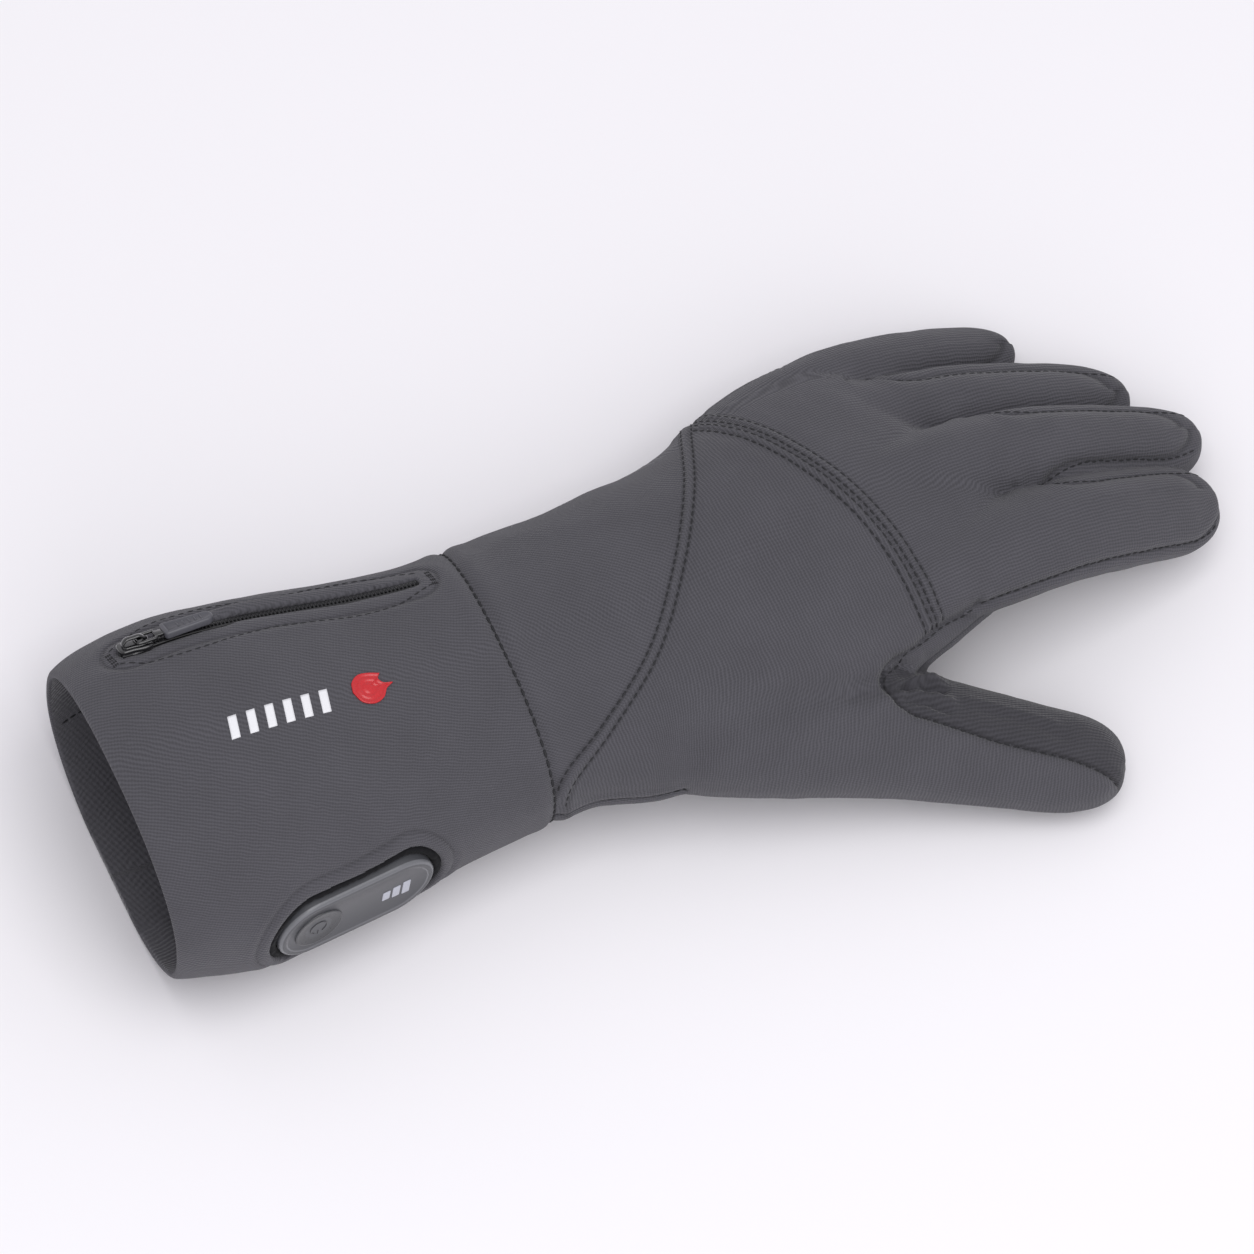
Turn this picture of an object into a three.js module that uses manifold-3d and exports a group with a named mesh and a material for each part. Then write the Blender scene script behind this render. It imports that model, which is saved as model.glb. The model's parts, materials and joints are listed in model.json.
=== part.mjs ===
// Heated liner glove for the left hand, lying palm down: a flared cuff with a zipped side
// pocket and a control unit, a panelled back, four fingers and a thumb, all of it hollow.
// Millimetres. +X runs from the cuff to the fingertips, +Y to the little finger, +Z up.
// The shape is worked out with the floor at z 0 and the cuff's hem at x 0; the group that
// is exported moves it so that the origin is under the middle of the glove.

import * as THREE from "three";
import { mergeVertices } from "three/addons/utils/BufferGeometryUtils.js";
import Module from "manifold-3d";

const wasm = await Module();
wasm.setup();

// Cloth: stretch shell bonded to fleece, and the clearance between pieces that touch
const WALL = 2.2;
const GAP = 0.3;

// Cuff
const CUFF_LENGTH = 116;
const CUFF_WIDTH = 104;
const CUFF_HEIGHT = 70;

// Hand, from the cuff seam to the roots of the fingers
const HAND_LENGTH = 142;
const PALM_WIDTH = 101;
const PALM_HEIGHT = 43;
const HAND_SHIFT = 23; // how far the palm stands towards the little finger
const KNUCKLE_LIFT = 37; // height of the knuckles' middle over the floor
const KNUCKLE_ARCH = 8; // drop of the palm's two edges below its middle
const KNUCKLE_TILT = 5; // rise of the index side over the little finger's side
const KNUCKLE_YAW = 24; // degrees by which the row of knuckles slants

// Fingers, sized by the middle one
const FINGER_LENGTH = 107;
const FINGER_WIDTH = 28;
const FINGER_HEIGHT = 27;

// A row per finger. reach is a share of FINGER_LENGTH, width of FINGER_WIDTH and height of
// FINGER_HEIGHT, root of HAND_LENGTH, across of the palm's half width, drop of KNUCKLE_LIFT
// and hover, how far the tip stays off the floor, of FINGER_HEIGHT. Angles are in degrees
// towards the little finger, and bow is a share of the reach.
const FINGERS = [
  {
    name: "index_finger", reach: 0.885, width: 1.02, height: 1.0,
    root: 0.74, across: -0.655, drop: -0.05, hover: 0.2, spread: 4.4, bow: 0.0,
  },
  {
    name: "middle_finger", reach: 1.02, width: 0.94, height: 0.96,
    root: 0.75, across: 0.03, drop: -0.1, hover: 0.12, spread: -0.5, bow: 0.0,
  },
  {
    name: "ring_finger", reach: 1.03, width: 0.86, height: 0.9,
    root: 0.72, across: 0.55, drop: 0.02, hover: 0.02, spread: -2, bow: 0.015,
  },
  {
    name: "little_finger", reach: 0.97, width: 0.75, height: 0.79,
    root: 0.62, across: 0.83, drop: 0.02, hover: 0.0, spread: 5.5, bow: 0.035,
  },
];

// Thumb
const THUMB_LENGTH = 139;
const THUMB_WIDTH = 52;
const THUMB_HEIGHT = 40;
const THUMB_SPREAD = 26.5; // degrees away from the fingers
const THUMB_ACROSS = -0.34; // where it starts, as a share of the palm's half width
const THUMB_ROOT = 0.23; // and as a share of the hand's length

// Web between the thumb and the hand
const WEB_LENGTH = 62;
const WEB_WIDTH = 34;
const WEB_HEIGHT = 27;
const WEB_SPREAD = 16;
const WEB_ACROSS = -0.26;
const WEB_ROOT = 0.38;

// Zipped pocket on the little finger's side of the cuff
const ZIP_ANGLE = 50; // degrees round the cuff from +Y
const ZIP_START = 15;
const ZIP_LENGTH = 90;
const SLOT_WIDTH = 5.2;
const SLOT_CORNER = 1;
const TAPE_WIDTH = 15;
const TAPE_THICKNESS = 0.8;
const COIL_WIDTH = 2.8;
const COIL_HEIGHT = 1.3;

// Zip head
const SLIDER_LENGTH = 10;
const SLIDER_WIDTH = 7;
const SLIDER_PLATE = 1.4;
const SLIDER_CORNER = 2;
const NECK_LENGTH = 8;
const NECK_WIDTH = 3.2;
const NECK_CORNER = 1;
const BRIDGE_LENGTH = 7;
const BRIDGE_WIDTH = 1.6;
const BRIDGE_BAR = 1;
const BRIDGE_CORNER = 0.5;
const HINGE_PLACE = 0.6; // of the link's crossbar, from the slider's middle
const LINK_WIRE = 0.9;
const LINK_WIDTH = 4.8;
const LINK_WINDOW = 5.4;
const LINK_CORNER = 1;
const WINDOW_CORNER = 0.5;
const TONGUE_LENGTH = 4.2;
const TONGUE_WIDTH = 2.6;
const TONGUE_CORNER = 0.8;
const TAB_LENGTH = 15;
const TAB_WIDTH = 5.8;
const TAB_END_WIDTH = 4.4;
const TAB_THICKNESS = 2.3;
const TAB_CORNER = 1;
const ZIP_BEVEL = 0.4; // on the slider's plate and the tab
const TAB_OVERLAP = 2.4; // how far it covers the link's tongue

// Control unit on the thumb side of the cuff
const UNIT_PLACE = 52.5; // from the hem to its middle
const UNIT_ANGLE = 180;
const UNIT_LENGTH = 50;
const UNIT_WIDTH = 24;
const UNIT_DEPTH = 9;
const UNIT_PROUD = -0.8; // its face over the cloth's outer face, under 0 when it is sunk
const UNIT_BEVEL = 1.2;
const WINDOW_MARGIN = 3.4; // dark band that shows round the unit
const COLLAR_LAP = 4; // collar under the cloth beyond the window
const COLLAR_THICKNESS = 1.2;
const BUTTON_DIAMETER = 15;
const BUTTON_DEPTH = 1;
const BUTTON_BEVEL = 0.3;
const BUTTON_PLACE = -12.5; // from the unit's middle, towards the hem
const LIGHT_WIDTH = 2.4;
const LIGHT_HEIGHTS = [4, 5, 6];
const LIGHT_PITCH = 3.2;
const LIGHT_PLACE = 9.3; // the first one's middle, from the unit's middle
const LIGHT_DEPTH = 0.6;
const LIGHT_CORNER = 0.6;

// Raised flame and row of printed bars on the back of the cuff
const MARK_PLACE = 76;
const MARK_ANGLE = 91;
const MARK_WIDTH = 10;
const MARK_LENGTH = 12.5;
const PRINT_THICKNESS = 0.6;
const BAR_COUNT = 6;
const BAR_PITCH = 5.6;
const BAR_WIDTH = 2.6;
const BAR_LENGTH = 7;
const BAR_SLANT = 1.6;
const BARS_PLACE = 47.5;

// Facets
const TRUNK_SIDES = 24;
const DIGIT_SIDES = 12;
const SEAM_STEPS = 10;
const TAB_STEPS = 2;
const FLAME_STEPS = 3;
const CORNER_STEPS = 1;
const ROUND_STEPS = 5;

// Rows along the cuff. along is a share of CUFF_LENGTH; width, side of CUFF_WIDTH; height and
// base, the underside, of CUFF_HEIGHT. A base under 0 is pressed flat on the floor.
const CUFF_ROWS = [
  { along: 0.0, width: 0.9, height: 0.94, base: -0.03, side: -0.004, lean: 0.012 },
  { along: 0.03, width: 0.93, height: 0.96, base: -0.03, side: -0.006, lean: 0.012 },
  { along: 0.13, width: 0.985, height: 1.0, base: -0.035, side: -0.01, lean: 0.005 },
  { along: 0.26, width: 1.0, height: 1.01, base: -0.035, side: -0.01, lean: 0.005 },
  { along: 0.4, width: 0.975, height: 0.98, base: -0.03, side: -0.009, lean: 0.0 },
  { along: 0.55, width: 0.935, height: 0.92, base: -0.02, side: -0.006, lean: 0.0 },
  { along: 0.72, width: 0.865, height: 0.84, base: 0.0, side: 0.004, lean: 0.0 },
  { along: 0.88, width: 0.825, height: 0.77, base: 0.035, side: 0.004, lean: 0.0 },
  { along: 1.0, width: 0.815, height: 0.74, base: 0.055, side: 0.011, lean: 0.0 },
];

// Rows along the hand. along is a share of HAND_LENGTH, width of PALM_WIDTH, height of
// PALM_HEIGHT, lift of KNUCKLE_LIFT, shift of HAND_SHIFT, bend of the three knuckle sizes.
const HAND_ROWS = [
  { along: 0.09, width: 0.845, height: 1.16, lift: 0.8, shift: 0.07, bend: 0.0 },
  { along: 0.21, width: 0.9, height: 1.12, lift: 0.81, shift: -0.02, bend: 0.06 },
  { along: 0.35, width: 0.93, height: 1.07, lift: 0.85, shift: 0.0, bend: 0.2 },
  { along: 0.49, width: 0.94, height: 1.03, lift: 0.92, shift: 0.06, bend: 0.42 },
  { along: 0.63, width: 0.97, height: 0.97, lift: 0.97, shift: 0.28, bend: 0.7 },
  { along: 0.76, width: 0.98, height: 0.85, lift: 1.0, shift: 0.58, bend: 0.9 },
  { along: 0.87, width: 0.96, height: 0.71, lift: 0.99, shift: 0.82, bend: 1.0 },
  { along: 0.95, width: 0.92, height: 0.54, lift: 0.96, shift: 0.95, bend: 1.0 },
  { along: 1.0, width: 0.84, height: 0.28, lift: 0.93, shift: 0.98, bend: 1.0 },
];

// Rows along a finger. along is a share of its reach, width and height of its own sizes,
// and rise runs from 1 at the knuckle's height to 0 where the tip rests on the floor.
const FINGER_ROWS = [
  { along: 0.0, width: 0.9, height: 1.03, rise: 1.0 },
  { along: 0.32, width: 1.0, height: 1.0, rise: 0.96 },
  { along: 0.54, width: 0.98, height: 0.97, rise: 0.75 },
  { along: 0.74, width: 0.93, height: 0.92, rise: 0.35 },
  { along: 0.87, width: 0.84, height: 0.83, rise: 0.06 },
  { along: 0.95, width: 0.64, height: 0.68, rise: -0.02 },
  { along: 1.0, width: 0.22, height: 0.26, rise: -0.05 },
];
const FINGER_PRESS = 1; // how far a fingertip's round is flattened on the floor
const TIP_ROUND = 0.6; // least half size of a digit's last section

// Rows along the web between thumb and hand, and along the thumb, as a finger's.
const WEB_ROWS = [
  { along: 0.0, width: 0.8, height: 0.8, rise: 1.0 },
  { along: 0.4, width: 1.0, height: 1.0, rise: 1.0 },
  { along: 0.72, width: 0.9, height: 0.9, rise: 0.98 },
  { along: 0.92, width: 0.6, height: 0.66, rise: 0.93 },
  { along: 1.0, width: 0.2, height: 0.24, rise: 0.88 },
];
const THUMB_ROWS = [
  { along: 0.0, width: 0.86, height: 0.86, rise: 1.0 },
  { along: 0.12, width: 1.02, height: 1.0, rise: 0.97 },
  { along: 0.3, width: 0.95, height: 0.96, rise: 0.84 },
  { along: 0.55, width: 0.745, height: 0.8, rise: 0.51 },
  { along: 0.75, width: 0.65, height: 0.68, rise: 0.2 },
  { along: 0.87, width: 0.6, height: 0.62, rise: 0.03 },
  { along: 0.95, width: 0.44, height: 0.48, rise: 0.0 },
  { along: 1.0, width: 0.16, height: 0.18, rise: -0.03 },
];

// Sections of the cuff and hand are a little squarer than an ellipse.
const SQUARENESS = 0.88;

// Where the palm's panel ends at the sides, as a share of the half height. The thumb and the
// web have one level on the fingers' side and one on the outer side.
const PALM_LEVEL = -0.15;
const FINGER_LEVEL = 0.15;
const PALM_LEVELS = { thumb: [0.1, -0.5], web: [-0.15, -0.15] };

// Seams across the back of the hand, as shares of HAND_LENGTH and of half PALM_WIDTH.
const WRIST_SEAM = [
  { along: 0.64, across: 1.5 },
  { along: 0.55, across: 1.0 },
  { along: 0.49, across: 0.6 },
  { along: 0.385, across: 0.09 },
  { along: 0.26, across: -0.35 },
  { along: 0.125, across: -0.62 },
  { along: 0.01, across: -0.8 },
  { along: -0.08, across: -1.2 },
  { along: -0.2, across: -2.4 },
];
const KNUCKLE_SEAM = [
  { along: 0.45, across: 1.5 },
  { along: 0.59, across: 1.06 },
  { along: 0.66, across: 0.79 },
  { along: 0.73, across: 0.38 },
  { along: 0.79, across: -0.08 },
  { along: 0.817, across: -0.53 },
  { along: 0.824, across: -0.68 },
];
const THUMB_SEAM_START = 0.5; // share of the thumb's length

// Cutting bodies
const OVER = 1.15; // a region reaches this share past the cloth that it takes
const TALL = 3 * CUFF_HEIGHT; // height of an upright cutting body
const THROUGH = 3 * WALL; // how far a cut through the cloth stands out of it
const DEEP = 12 * WALL; // and how far it reaches in

const radians = THREE.MathUtils.degToRad;
const power = (value, exponent) => Math.sign(value) * Math.abs(value) ** exponent;

// A row between two rows of a table, found by the value of one column.
function between(rows, column, value) {
  const next = Math.max(1, rows.findIndex((row) => row[column] >= value));
  const [before, after] = [rows[next - 1], rows[next]];
  const share = (value - before[column]) / (after[column] - before[column]);
  const mixed = {};
  for (const key of Object.keys(before)) {
    mixed[key] = THREE.MathUtils.lerp(before[key], after[key], share);
  }
  return mixed;
}

// Sections

// A section of the cuff and hand: middle, half sizes, yaw, arch and tilt.
function cuffSection(row) {
  const halfHeight = (row.height * CUFF_HEIGHT) / 2;
  return {
    x: row.along * CUFF_LENGTH,
    y: row.side * CUFF_WIDTH,
    z: row.base * CUFF_HEIGHT + halfHeight,
    halfWidth: (row.width * CUFF_WIDTH) / 2,
    halfHeight,
    lean: row.lean * CUFF_LENGTH,
    yaw: 0,
    arch: 0,
    tilt: 0,
  };
}

function handSection(row) {
  return {
    x: CUFF_LENGTH + row.along * HAND_LENGTH,
    y: row.shift * HAND_SHIFT,
    z: row.lift * KNUCKLE_LIFT,
    halfWidth: (row.width * PALM_WIDTH) / 2,
    halfHeight: (row.height * PALM_HEIGHT) / 2,
    lean: 0,
    yaw: radians(row.bend * KNUCKLE_YAW),
    arch: row.bend * KNUCKLE_ARCH,
    tilt: row.bend * KNUCKLE_TILT,
  };
}

const TRUNK = [...CUFF_ROWS.map(cuffSection), ...HAND_ROWS.map(handSection)];

// The section at any x, between two rows.
const sectionAt = (x) => between(TRUNK, "x", x);

// A point of a section. cosine and sine are its place round the section, from +Y upwards;
// grow moves it out of the cloth's outer face, or in when it is negative.
function sectionPoint(section, cosine, sine, grow) {
  const reach = (section.halfWidth + grow) * cosine;
  const bend = -section.tilt * cosine - section.arch * cosine * cosine;
  return new THREE.Vector3(
    section.x - reach * Math.sin(section.yaw) - section.lean * sine,
    section.y + reach * Math.cos(section.yaw),
    Math.max(section.z + (section.halfHeight + grow) * sine + bend, -grow),
  );
}

// A ring of points round a section.
function ring(section, grow) {
  return Array.from({ length: TRUNK_SIDES }, (_, side) => {
    const turn = (2 * Math.PI * side) / TRUNK_SIDES;
    const cosine = power(Math.cos(turn), SQUARENESS);
    return sectionPoint(section, cosine, power(Math.sin(turn), SQUARENESS), grow);
  });
}

// A closed body through rings that all have as many points, with a fan over each end.
function loft(rings) {
  const sides = rings[0].length;
  const middle = (points) =>
    points.reduce((sum, point) => sum.add(point), new THREE.Vector3()).divideScalar(points.length);
  const points = [...rings.flat(), middle(rings[0]), middle(rings.at(-1))];
  const [first, last] = [points.length - 2, points.length - 1];
  const index = [];
  for (let row = 0; row < rings.length - 1; row++)
    for (let side = 0; side < sides; side++) {
      const next = (side + 1) % sides;
      const [a, b] = [row * sides + side, row * sides + next];
      index.push(a, b, b + sides, a, b + sides, a + sides);
    }
  const end = (rings.length - 1) * sides;
  for (let side = 0; side < sides; side++) {
    const next = (side + 1) % sides;
    index.push(first, next, side, last, end + side, end + next);
  }
  return new THREE.BufferGeometry().setFromPoints(points).setIndex(index);
}

// Solids

function solid(geometry, matrix = new THREE.Matrix4()) {
  const bare = new THREE.BufferGeometry().setAttribute("position", geometry.getAttribute("position"));
  if (geometry.index) bare.setIndex(geometry.index);
  const merged = mergeVertices(bare.clone().applyMatrix4(matrix), 1e-4);
  return new wasm.Manifold(
    new wasm.Mesh({
      numProp: 3,
      vertProperties: new Float32Array(merged.attributes.position.array),
      triVerts: new Uint32Array(merged.index.array),
    }),
  );
}

function geometryOf(body) {
  const { vertProperties, triVerts } = body.getMesh();
  return new THREE.BufferGeometry()
    .setAttribute("position", new THREE.BufferAttribute(vertProperties, 3))
    .setIndex(new THREE.BufferAttribute(triVerts, 1))
    .toNonIndexed();
}

const unionOf = (bodies) => bodies.reduce((sum, body) => sum.add(body));

// The biggest closed surface of a body, without crumbs of a cut or closed pockets.
function biggest(body) {
  return body.decompose().reduce((best, piece) => (piece.volume() > best.volume() ? piece : best));
}

// The cuff and hand as one body, grown or shrunk; open adds a length past the hem.
function trunkBody(grow, open = 0) {
  const hem = { ...TRUNK[0], x: TRUNK[0].x - open };
  const end = { ...TRUNK.at(-1), x: TRUNK.at(-1).x + grow };
  const sections = [...(open ? [hem] : []), ...TRUNK.slice(0, -1), end];
  return solid(loft(sections.map((section) => ring(section, grow))));
}

// A layer that follows the cuff's outer face, between two heights over it.
function cuffLayer(low, high) {
  const sections = [...CUFF_ROWS.map(cuffSection), sectionAt(CUFF_LENGTH + WALL)];
  const body = (grow) => solid(loft(sections.map((section) => ring(section, grow))));
  return body(high).subtract(body(low));
}

// The sections of a digit: its middle runs from start, and sinks at the tip to its rest.
function digitSections({ start, heading, bow, reach, width, height, rows, hover }, grow) {
  const along = new THREE.Vector3(Math.cos(heading), Math.sin(heading), 0);
  const across = new THREE.Vector3(-Math.sin(heading), Math.cos(heading), 0);
  const tipHeight = (rows.at(-3).height * height) / 2 + hover;
  const centres = rows.map((row) =>
    start
      .clone()
      .addScaledVector(along, row.along * (reach + grow))
      .addScaledVector(across, 4 * bow * reach * row.along * (1 - row.along))
      .setZ(THREE.MathUtils.lerp(tipHeight, start.z, row.rise)),
  );
  return rows.map((row, place) => {
    const before = centres[Math.max(0, place - 1)];
    const after = centres[Math.min(rows.length - 1, place + 1)];
    const up = after.clone().sub(before).normalize().cross(across);
    const halfWidth = Math.max(TIP_ROUND, (row.width * width) / 2 + grow);
    const halfHeight = Math.max(TIP_ROUND, (row.height * height) / 2 + grow);
    const point = (reachAcross, reachUp) => {
      const spot = centres[place].clone().addScaledVector(across, reachAcross);
      spot.addScaledVector(up, reachUp);
      return spot.setZ(Math.max(spot.z, -grow));
    };
    return { halfWidth, halfHeight, point };
  });
}

function digitBody(digit, grow) {
  const rings = digitSections(digit, grow).map(({ halfWidth, halfHeight, point }) =>
    Array.from({ length: DIGIT_SIDES }, (_, side) => {
      const turn = (2 * Math.PI * side) / DIGIT_SIDES;
      return point(halfWidth * Math.cos(turn), halfHeight * Math.sin(turn));
    }),
  );
  return solid(loft(rings));
}

// The middle of the hand's cloth at a share of its length and of the palm's half width,
// lowered by a share of the knuckles' height.
function palmPoint(along, across, drop) {
  const section = sectionAt(CUFF_LENGTH + along * HAND_LENGTH);
  const point = sectionPoint(section, across, 0, 0);
  return point.setZ(point.z - drop * KNUCKLE_LIFT);
}

const fingers = FINGERS.map((row) => ({
  name: row.name,
  start: palmPoint(row.root, row.across, row.drop),
  heading: radians(row.spread),
  bow: row.bow,
  reach: row.reach * FINGER_LENGTH,
  width: row.width * FINGER_WIDTH,
  height: row.height * FINGER_HEIGHT,
  hover: row.hover * FINGER_HEIGHT - FINGER_PRESS,
  rows: FINGER_ROWS,
}));

const thumb = {
  name: "thumb",
  start: palmPoint(THUMB_ROOT, THUMB_ACROSS, 0),
  heading: -radians(THUMB_SPREAD),
  bow: 0,
  reach: THUMB_LENGTH,
  width: THUMB_WIDTH,
  height: THUMB_HEIGHT,
  rows: THUMB_ROWS,
  hover: -FINGER_PRESS,
};

const web = {
  name: "web",
  start: palmPoint(WEB_ROOT, WEB_ACROSS, 0),
  heading: -radians(WEB_SPREAD),
  bow: 0,
  reach: WEB_LENGTH,
  width: WEB_WIDTH,
  height: WEB_HEIGHT,
  rows: WEB_ROWS,
  hover: 0,
};

const digits = [...fingers, thumb, web];

function gloveBody(grow, open) {
  return unionOf([trunkBody(grow, open), ...digits.map((digit) => digitBody(digit, grow))]);
}

const shell = gloveBody(0).subtract(gloveBody(-WALL, 2 * WALL));

// Cutting into panels

// An upright body over a plan outline, high enough for the whole glove.
function upright(points) {
  const shape = new THREE.Shape(points);
  const body = new THREE.ExtrudeGeometry(shape, { depth: TALL, bevelEnabled: false });
  return solid(body.translate(0, 0, -CUFF_HEIGHT));
}

// Everything that lies past a seam in plan; offset moves its edge away from the hem.
function pastSeam(rows, offset) {
  const curve = new THREE.SplineCurve(
    rows.map(({ along, across }) => {
      return new THREE.Vector2(CUFF_LENGTH + along * HAND_LENGTH, (across * PALM_WIDTH) / 2);
    }),
  );
  const points = curve.getPoints(SEAM_STEPS).map((point, place) => {
    const tangent = curve.getTangent(place / SEAM_STEPS);
    return new THREE.Vector2(point.x - tangent.y * offset, point.y + tangent.x * offset);
  });
  const far = CUFF_LENGTH + 3 * HAND_LENGTH;
  points.push(new THREE.Vector2(far, points.at(-1).y), new THREE.Vector2(far, points[0].y));
  return upright(points);
}

// Everything on the hem's side of a plane across the cuff.
function beforePlane(x) {
  const half = CUFF_WIDTH;
  return upright([
    new THREE.Vector2(-CUFF_LENGTH, -half),
    new THREE.Vector2(x, -half),
    new THREE.Vector2(x, half),
    new THREE.Vector2(-CUFF_LENGTH, half),
  ]);
}

// The palm's side of the hand and of every digit.
function palmRegion(margin) {
  const rings = TRUNK.slice(CUFF_ROWS.length - 2).map((section) => {
    const top = PALM_LEVEL + margin / section.halfHeight;
    const corners = [[OVER, top], [-OVER, top], [-OVER, -OVER], [OVER, -OVER]];
    return corners.map(([cosine, sine]) => sectionPoint(section, cosine, sine, WALL + margin));
  });
  const parts = digits.map((digit) => {
    const [inner, outer] = PALM_LEVELS[digit.name] ?? [FINGER_LEVEL, FINGER_LEVEL];
    return digitRegion(digit, (half) => ({
      right: OVER * half.width + margin,
      left: -OVER * half.width - margin,
      low: -OVER * half.height,
      highRight: inner * half.height + margin,
      highLeft: outer * half.height + margin,
    }));
  });
  return unionOf([solid(loft(rings)), ...parts]);
}

// A body along a digit with four corners in each section; right is the little finger's side.
function digitRegion(digit, cornersOf) {
  const rings = digitSections(digit, WALL).map(({ halfWidth, halfHeight, point }) => {
    const corners = cornersOf({ width: halfWidth, height: halfHeight });
    return [
      point(corners.right, corners.highRight),
      point(corners.left, corners.highLeft),
      point(corners.left, corners.low),
      point(corners.right, corners.low),
    ];
  });
  return solid(loft(rings));
}

// The thumb's side that faces the fingers, with the web.
function thumbSide(margin) {
  const first = THUMB_SEAM_START - margin / THUMB_LENGTH;
  const rows = [
    between(thumb.rows, "along", first),
    ...thumb.rows.filter((row) => row.along > THUMB_SEAM_START + GAP / THUMB_LENGTH),
  ];
  const half = digitRegion({ ...thumb, rows }, ({ width, height }) => ({
    right: OVER * width,
    left: -margin,
    low: -OVER * height,
    highRight: OVER * height,
    highLeft: OVER * height,
  }));
  const hand = unionOf([trunkBody(-margin), digitBody(fingers[0], -margin)]);
  return half.add(digitBody(web, WALL + margin)).subtract(hand);
}

const HALF_GAP = GAP / 2;
const hand = shell.subtract(beforePlane(CUFF_LENGTH + HALF_GAP));
const upper = hand.subtract(palmRegion(HALF_GAP));
const rest = upper.subtract(thumbSide(HALF_GAP));
const pastWrist = rest.intersect(pastSeam(WRIST_SEAM, HALF_GAP));

const panels = {
  cuff: shell.intersect(beforePlane(CUFF_LENGTH - HALF_GAP)),
  wrist_panel: rest.subtract(pastSeam(WRIST_SEAM, -HALF_GAP)),
  back_panel: pastWrist.subtract(pastSeam(KNUCKLE_SEAM, -HALF_GAP)),
  finger_panel: pastWrist.intersect(pastSeam(KNUCKLE_SEAM, HALF_GAP)),
  palm_panel: hand.intersect(palmRegion(-HALF_GAP)),
  thumb_panel: upper.intersect(thumbSide(-HALF_GAP)),
};

// Places on the cuff

// The point of the cuff's outer face at a distance from the hem and an angle round it.
function cuffPoint(x, degrees) {
  const turn = radians(degrees);
  const cosine = power(Math.cos(turn), SQUARENESS);
  return sectionPoint(sectionAt(x), cosine, power(Math.sin(turn), SQUARENESS), 0);
}

// A frame on the cuff's face: x along it, z out of it. It lies on the chord over a span.
function cuffFrame(x, degrees, back, ahead) {
  const origin = cuffPoint(x, degrees);
  const along = cuffPoint(x + ahead, degrees).sub(cuffPoint(x - back, degrees)).normalize();
  const round = cuffPoint(x, degrees + 1).sub(cuffPoint(x, degrees - 1));
  const out = round.cross(along).normalize();
  const across = out.clone().cross(along);
  return new THREE.Matrix4().makeBasis(along, across, out).setPosition(origin);
}

// Outlines

// A rectangle with rounded corners.
function roundedOutline(length, width, radius, middle = 0, path = new THREE.Shape()) {
  const [x, y] = [length / 2 - radius, width / 2 - radius];
  path.absarc(middle + x, y, radius, 0, Math.PI / 2);
  path.absarc(middle - x, y, radius, Math.PI / 2, Math.PI);
  path.absarc(middle - x, -y, radius, Math.PI, 1.5 * Math.PI);
  path.absarc(middle + x, -y, radius, 1.5 * Math.PI, 2 * Math.PI);
  return path;
}

function stadium(length, width) {
  const middle = (length - width) / 2;
  const shape = new THREE.Shape().absarc(middle, 0, width / 2, -Math.PI / 2, Math.PI / 2);
  return shape.absarc(-middle, 0, width / 2, Math.PI / 2, 1.5 * Math.PI);
}

// A flat body over an outline, from low to high, with both its edges bevelled inwards.
function slab(shape, low, high, matrix, bevel = 0, steps = CORNER_STEPS) {
  const body = new THREE.ExtrudeGeometry(shape, {
    depth: high - low - 2 * bevel,
    curveSegments: steps,
    bevelEnabled: bevel > 0,
    bevelThickness: bevel,
    bevelSize: bevel,
    bevelOffset: -bevel,
    bevelSegments: 1,
  });
  return solid(body.translate(0, 0, low + bevel), matrix);
}

// Zip

const zipMiddle = ZIP_START + ZIP_LENGTH / 2;
const zipFrame = cuffFrame(zipMiddle, ZIP_ANGLE, ZIP_LENGTH / 2, ZIP_LENGTH / 2);
const strip = (length, width) =>
  slab(roundedOutline(length, width, SLOT_CORNER), -DEEP, THROUGH, zipFrame);
const tapeTop = -WALL - GAP;
const coilTop = -WALL + COIL_HEIGHT;

const slot = strip(ZIP_LENGTH, SLOT_WIDTH);
const zipTape = cuffLayer(tapeTop - TAPE_THICKNESS, tapeTop).intersect(
  strip(ZIP_LENGTH + TAPE_WIDTH - SLOT_WIDTH, TAPE_WIDTH),
);
const zipCoil = cuffLayer(-WALL, coilTop).intersect(strip(ZIP_LENGTH - 2 * GAP, COIL_WIDTH));

// The point of the cuff's face over the middle of the slot.
function slotPoint(x) {
  const point = cuffPoint(x, ZIP_ANGLE).applyMatrix4(zipFrame.clone().invert());
  return point.setY(0).applyMatrix4(zipFrame);
}

// The frame of the zip head; its x lies on the chord that the pull spans.
function zipHeadFrame() {
  const origin = slotPoint(headPlace);
  const along = slotPoint(headPlace + pullReach).sub(origin).normalize();
  const across = new THREE.Vector3().setFromMatrixColumn(zipFrame, 1);
  const out = along.clone().cross(across);
  return new THREE.Matrix4().makeBasis(along, across, out).setPosition(origin);
}

// Zip head, at the hem's end of the slot

const pullReach = HINGE_PLACE + LINK_WINDOW + TONGUE_LENGTH + TAB_LENGTH - TAB_OVERLAP;
const headPlace = ZIP_START + SLIDER_LENGTH / 2 + GAP;
const headFrame = zipHeadFrame();
const plateTop = GAP + SLIDER_PLATE;
const hingeHeight = plateTop + GAP + LINK_WIRE / 2;
const barLow = hingeHeight + LINK_WIRE / 2 + GAP;
const barTop = barLow + BRIDGE_BAR;

function bridgePost(side) {
  const place = (side * (BRIDGE_LENGTH - BRIDGE_BAR)) / 2;
  const outline = roundedOutline(BRIDGE_BAR, BRIDGE_WIDTH, GAP, place);
  return slab(outline, plateTop - GAP, barTop - GAP, headFrame);
}

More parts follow.
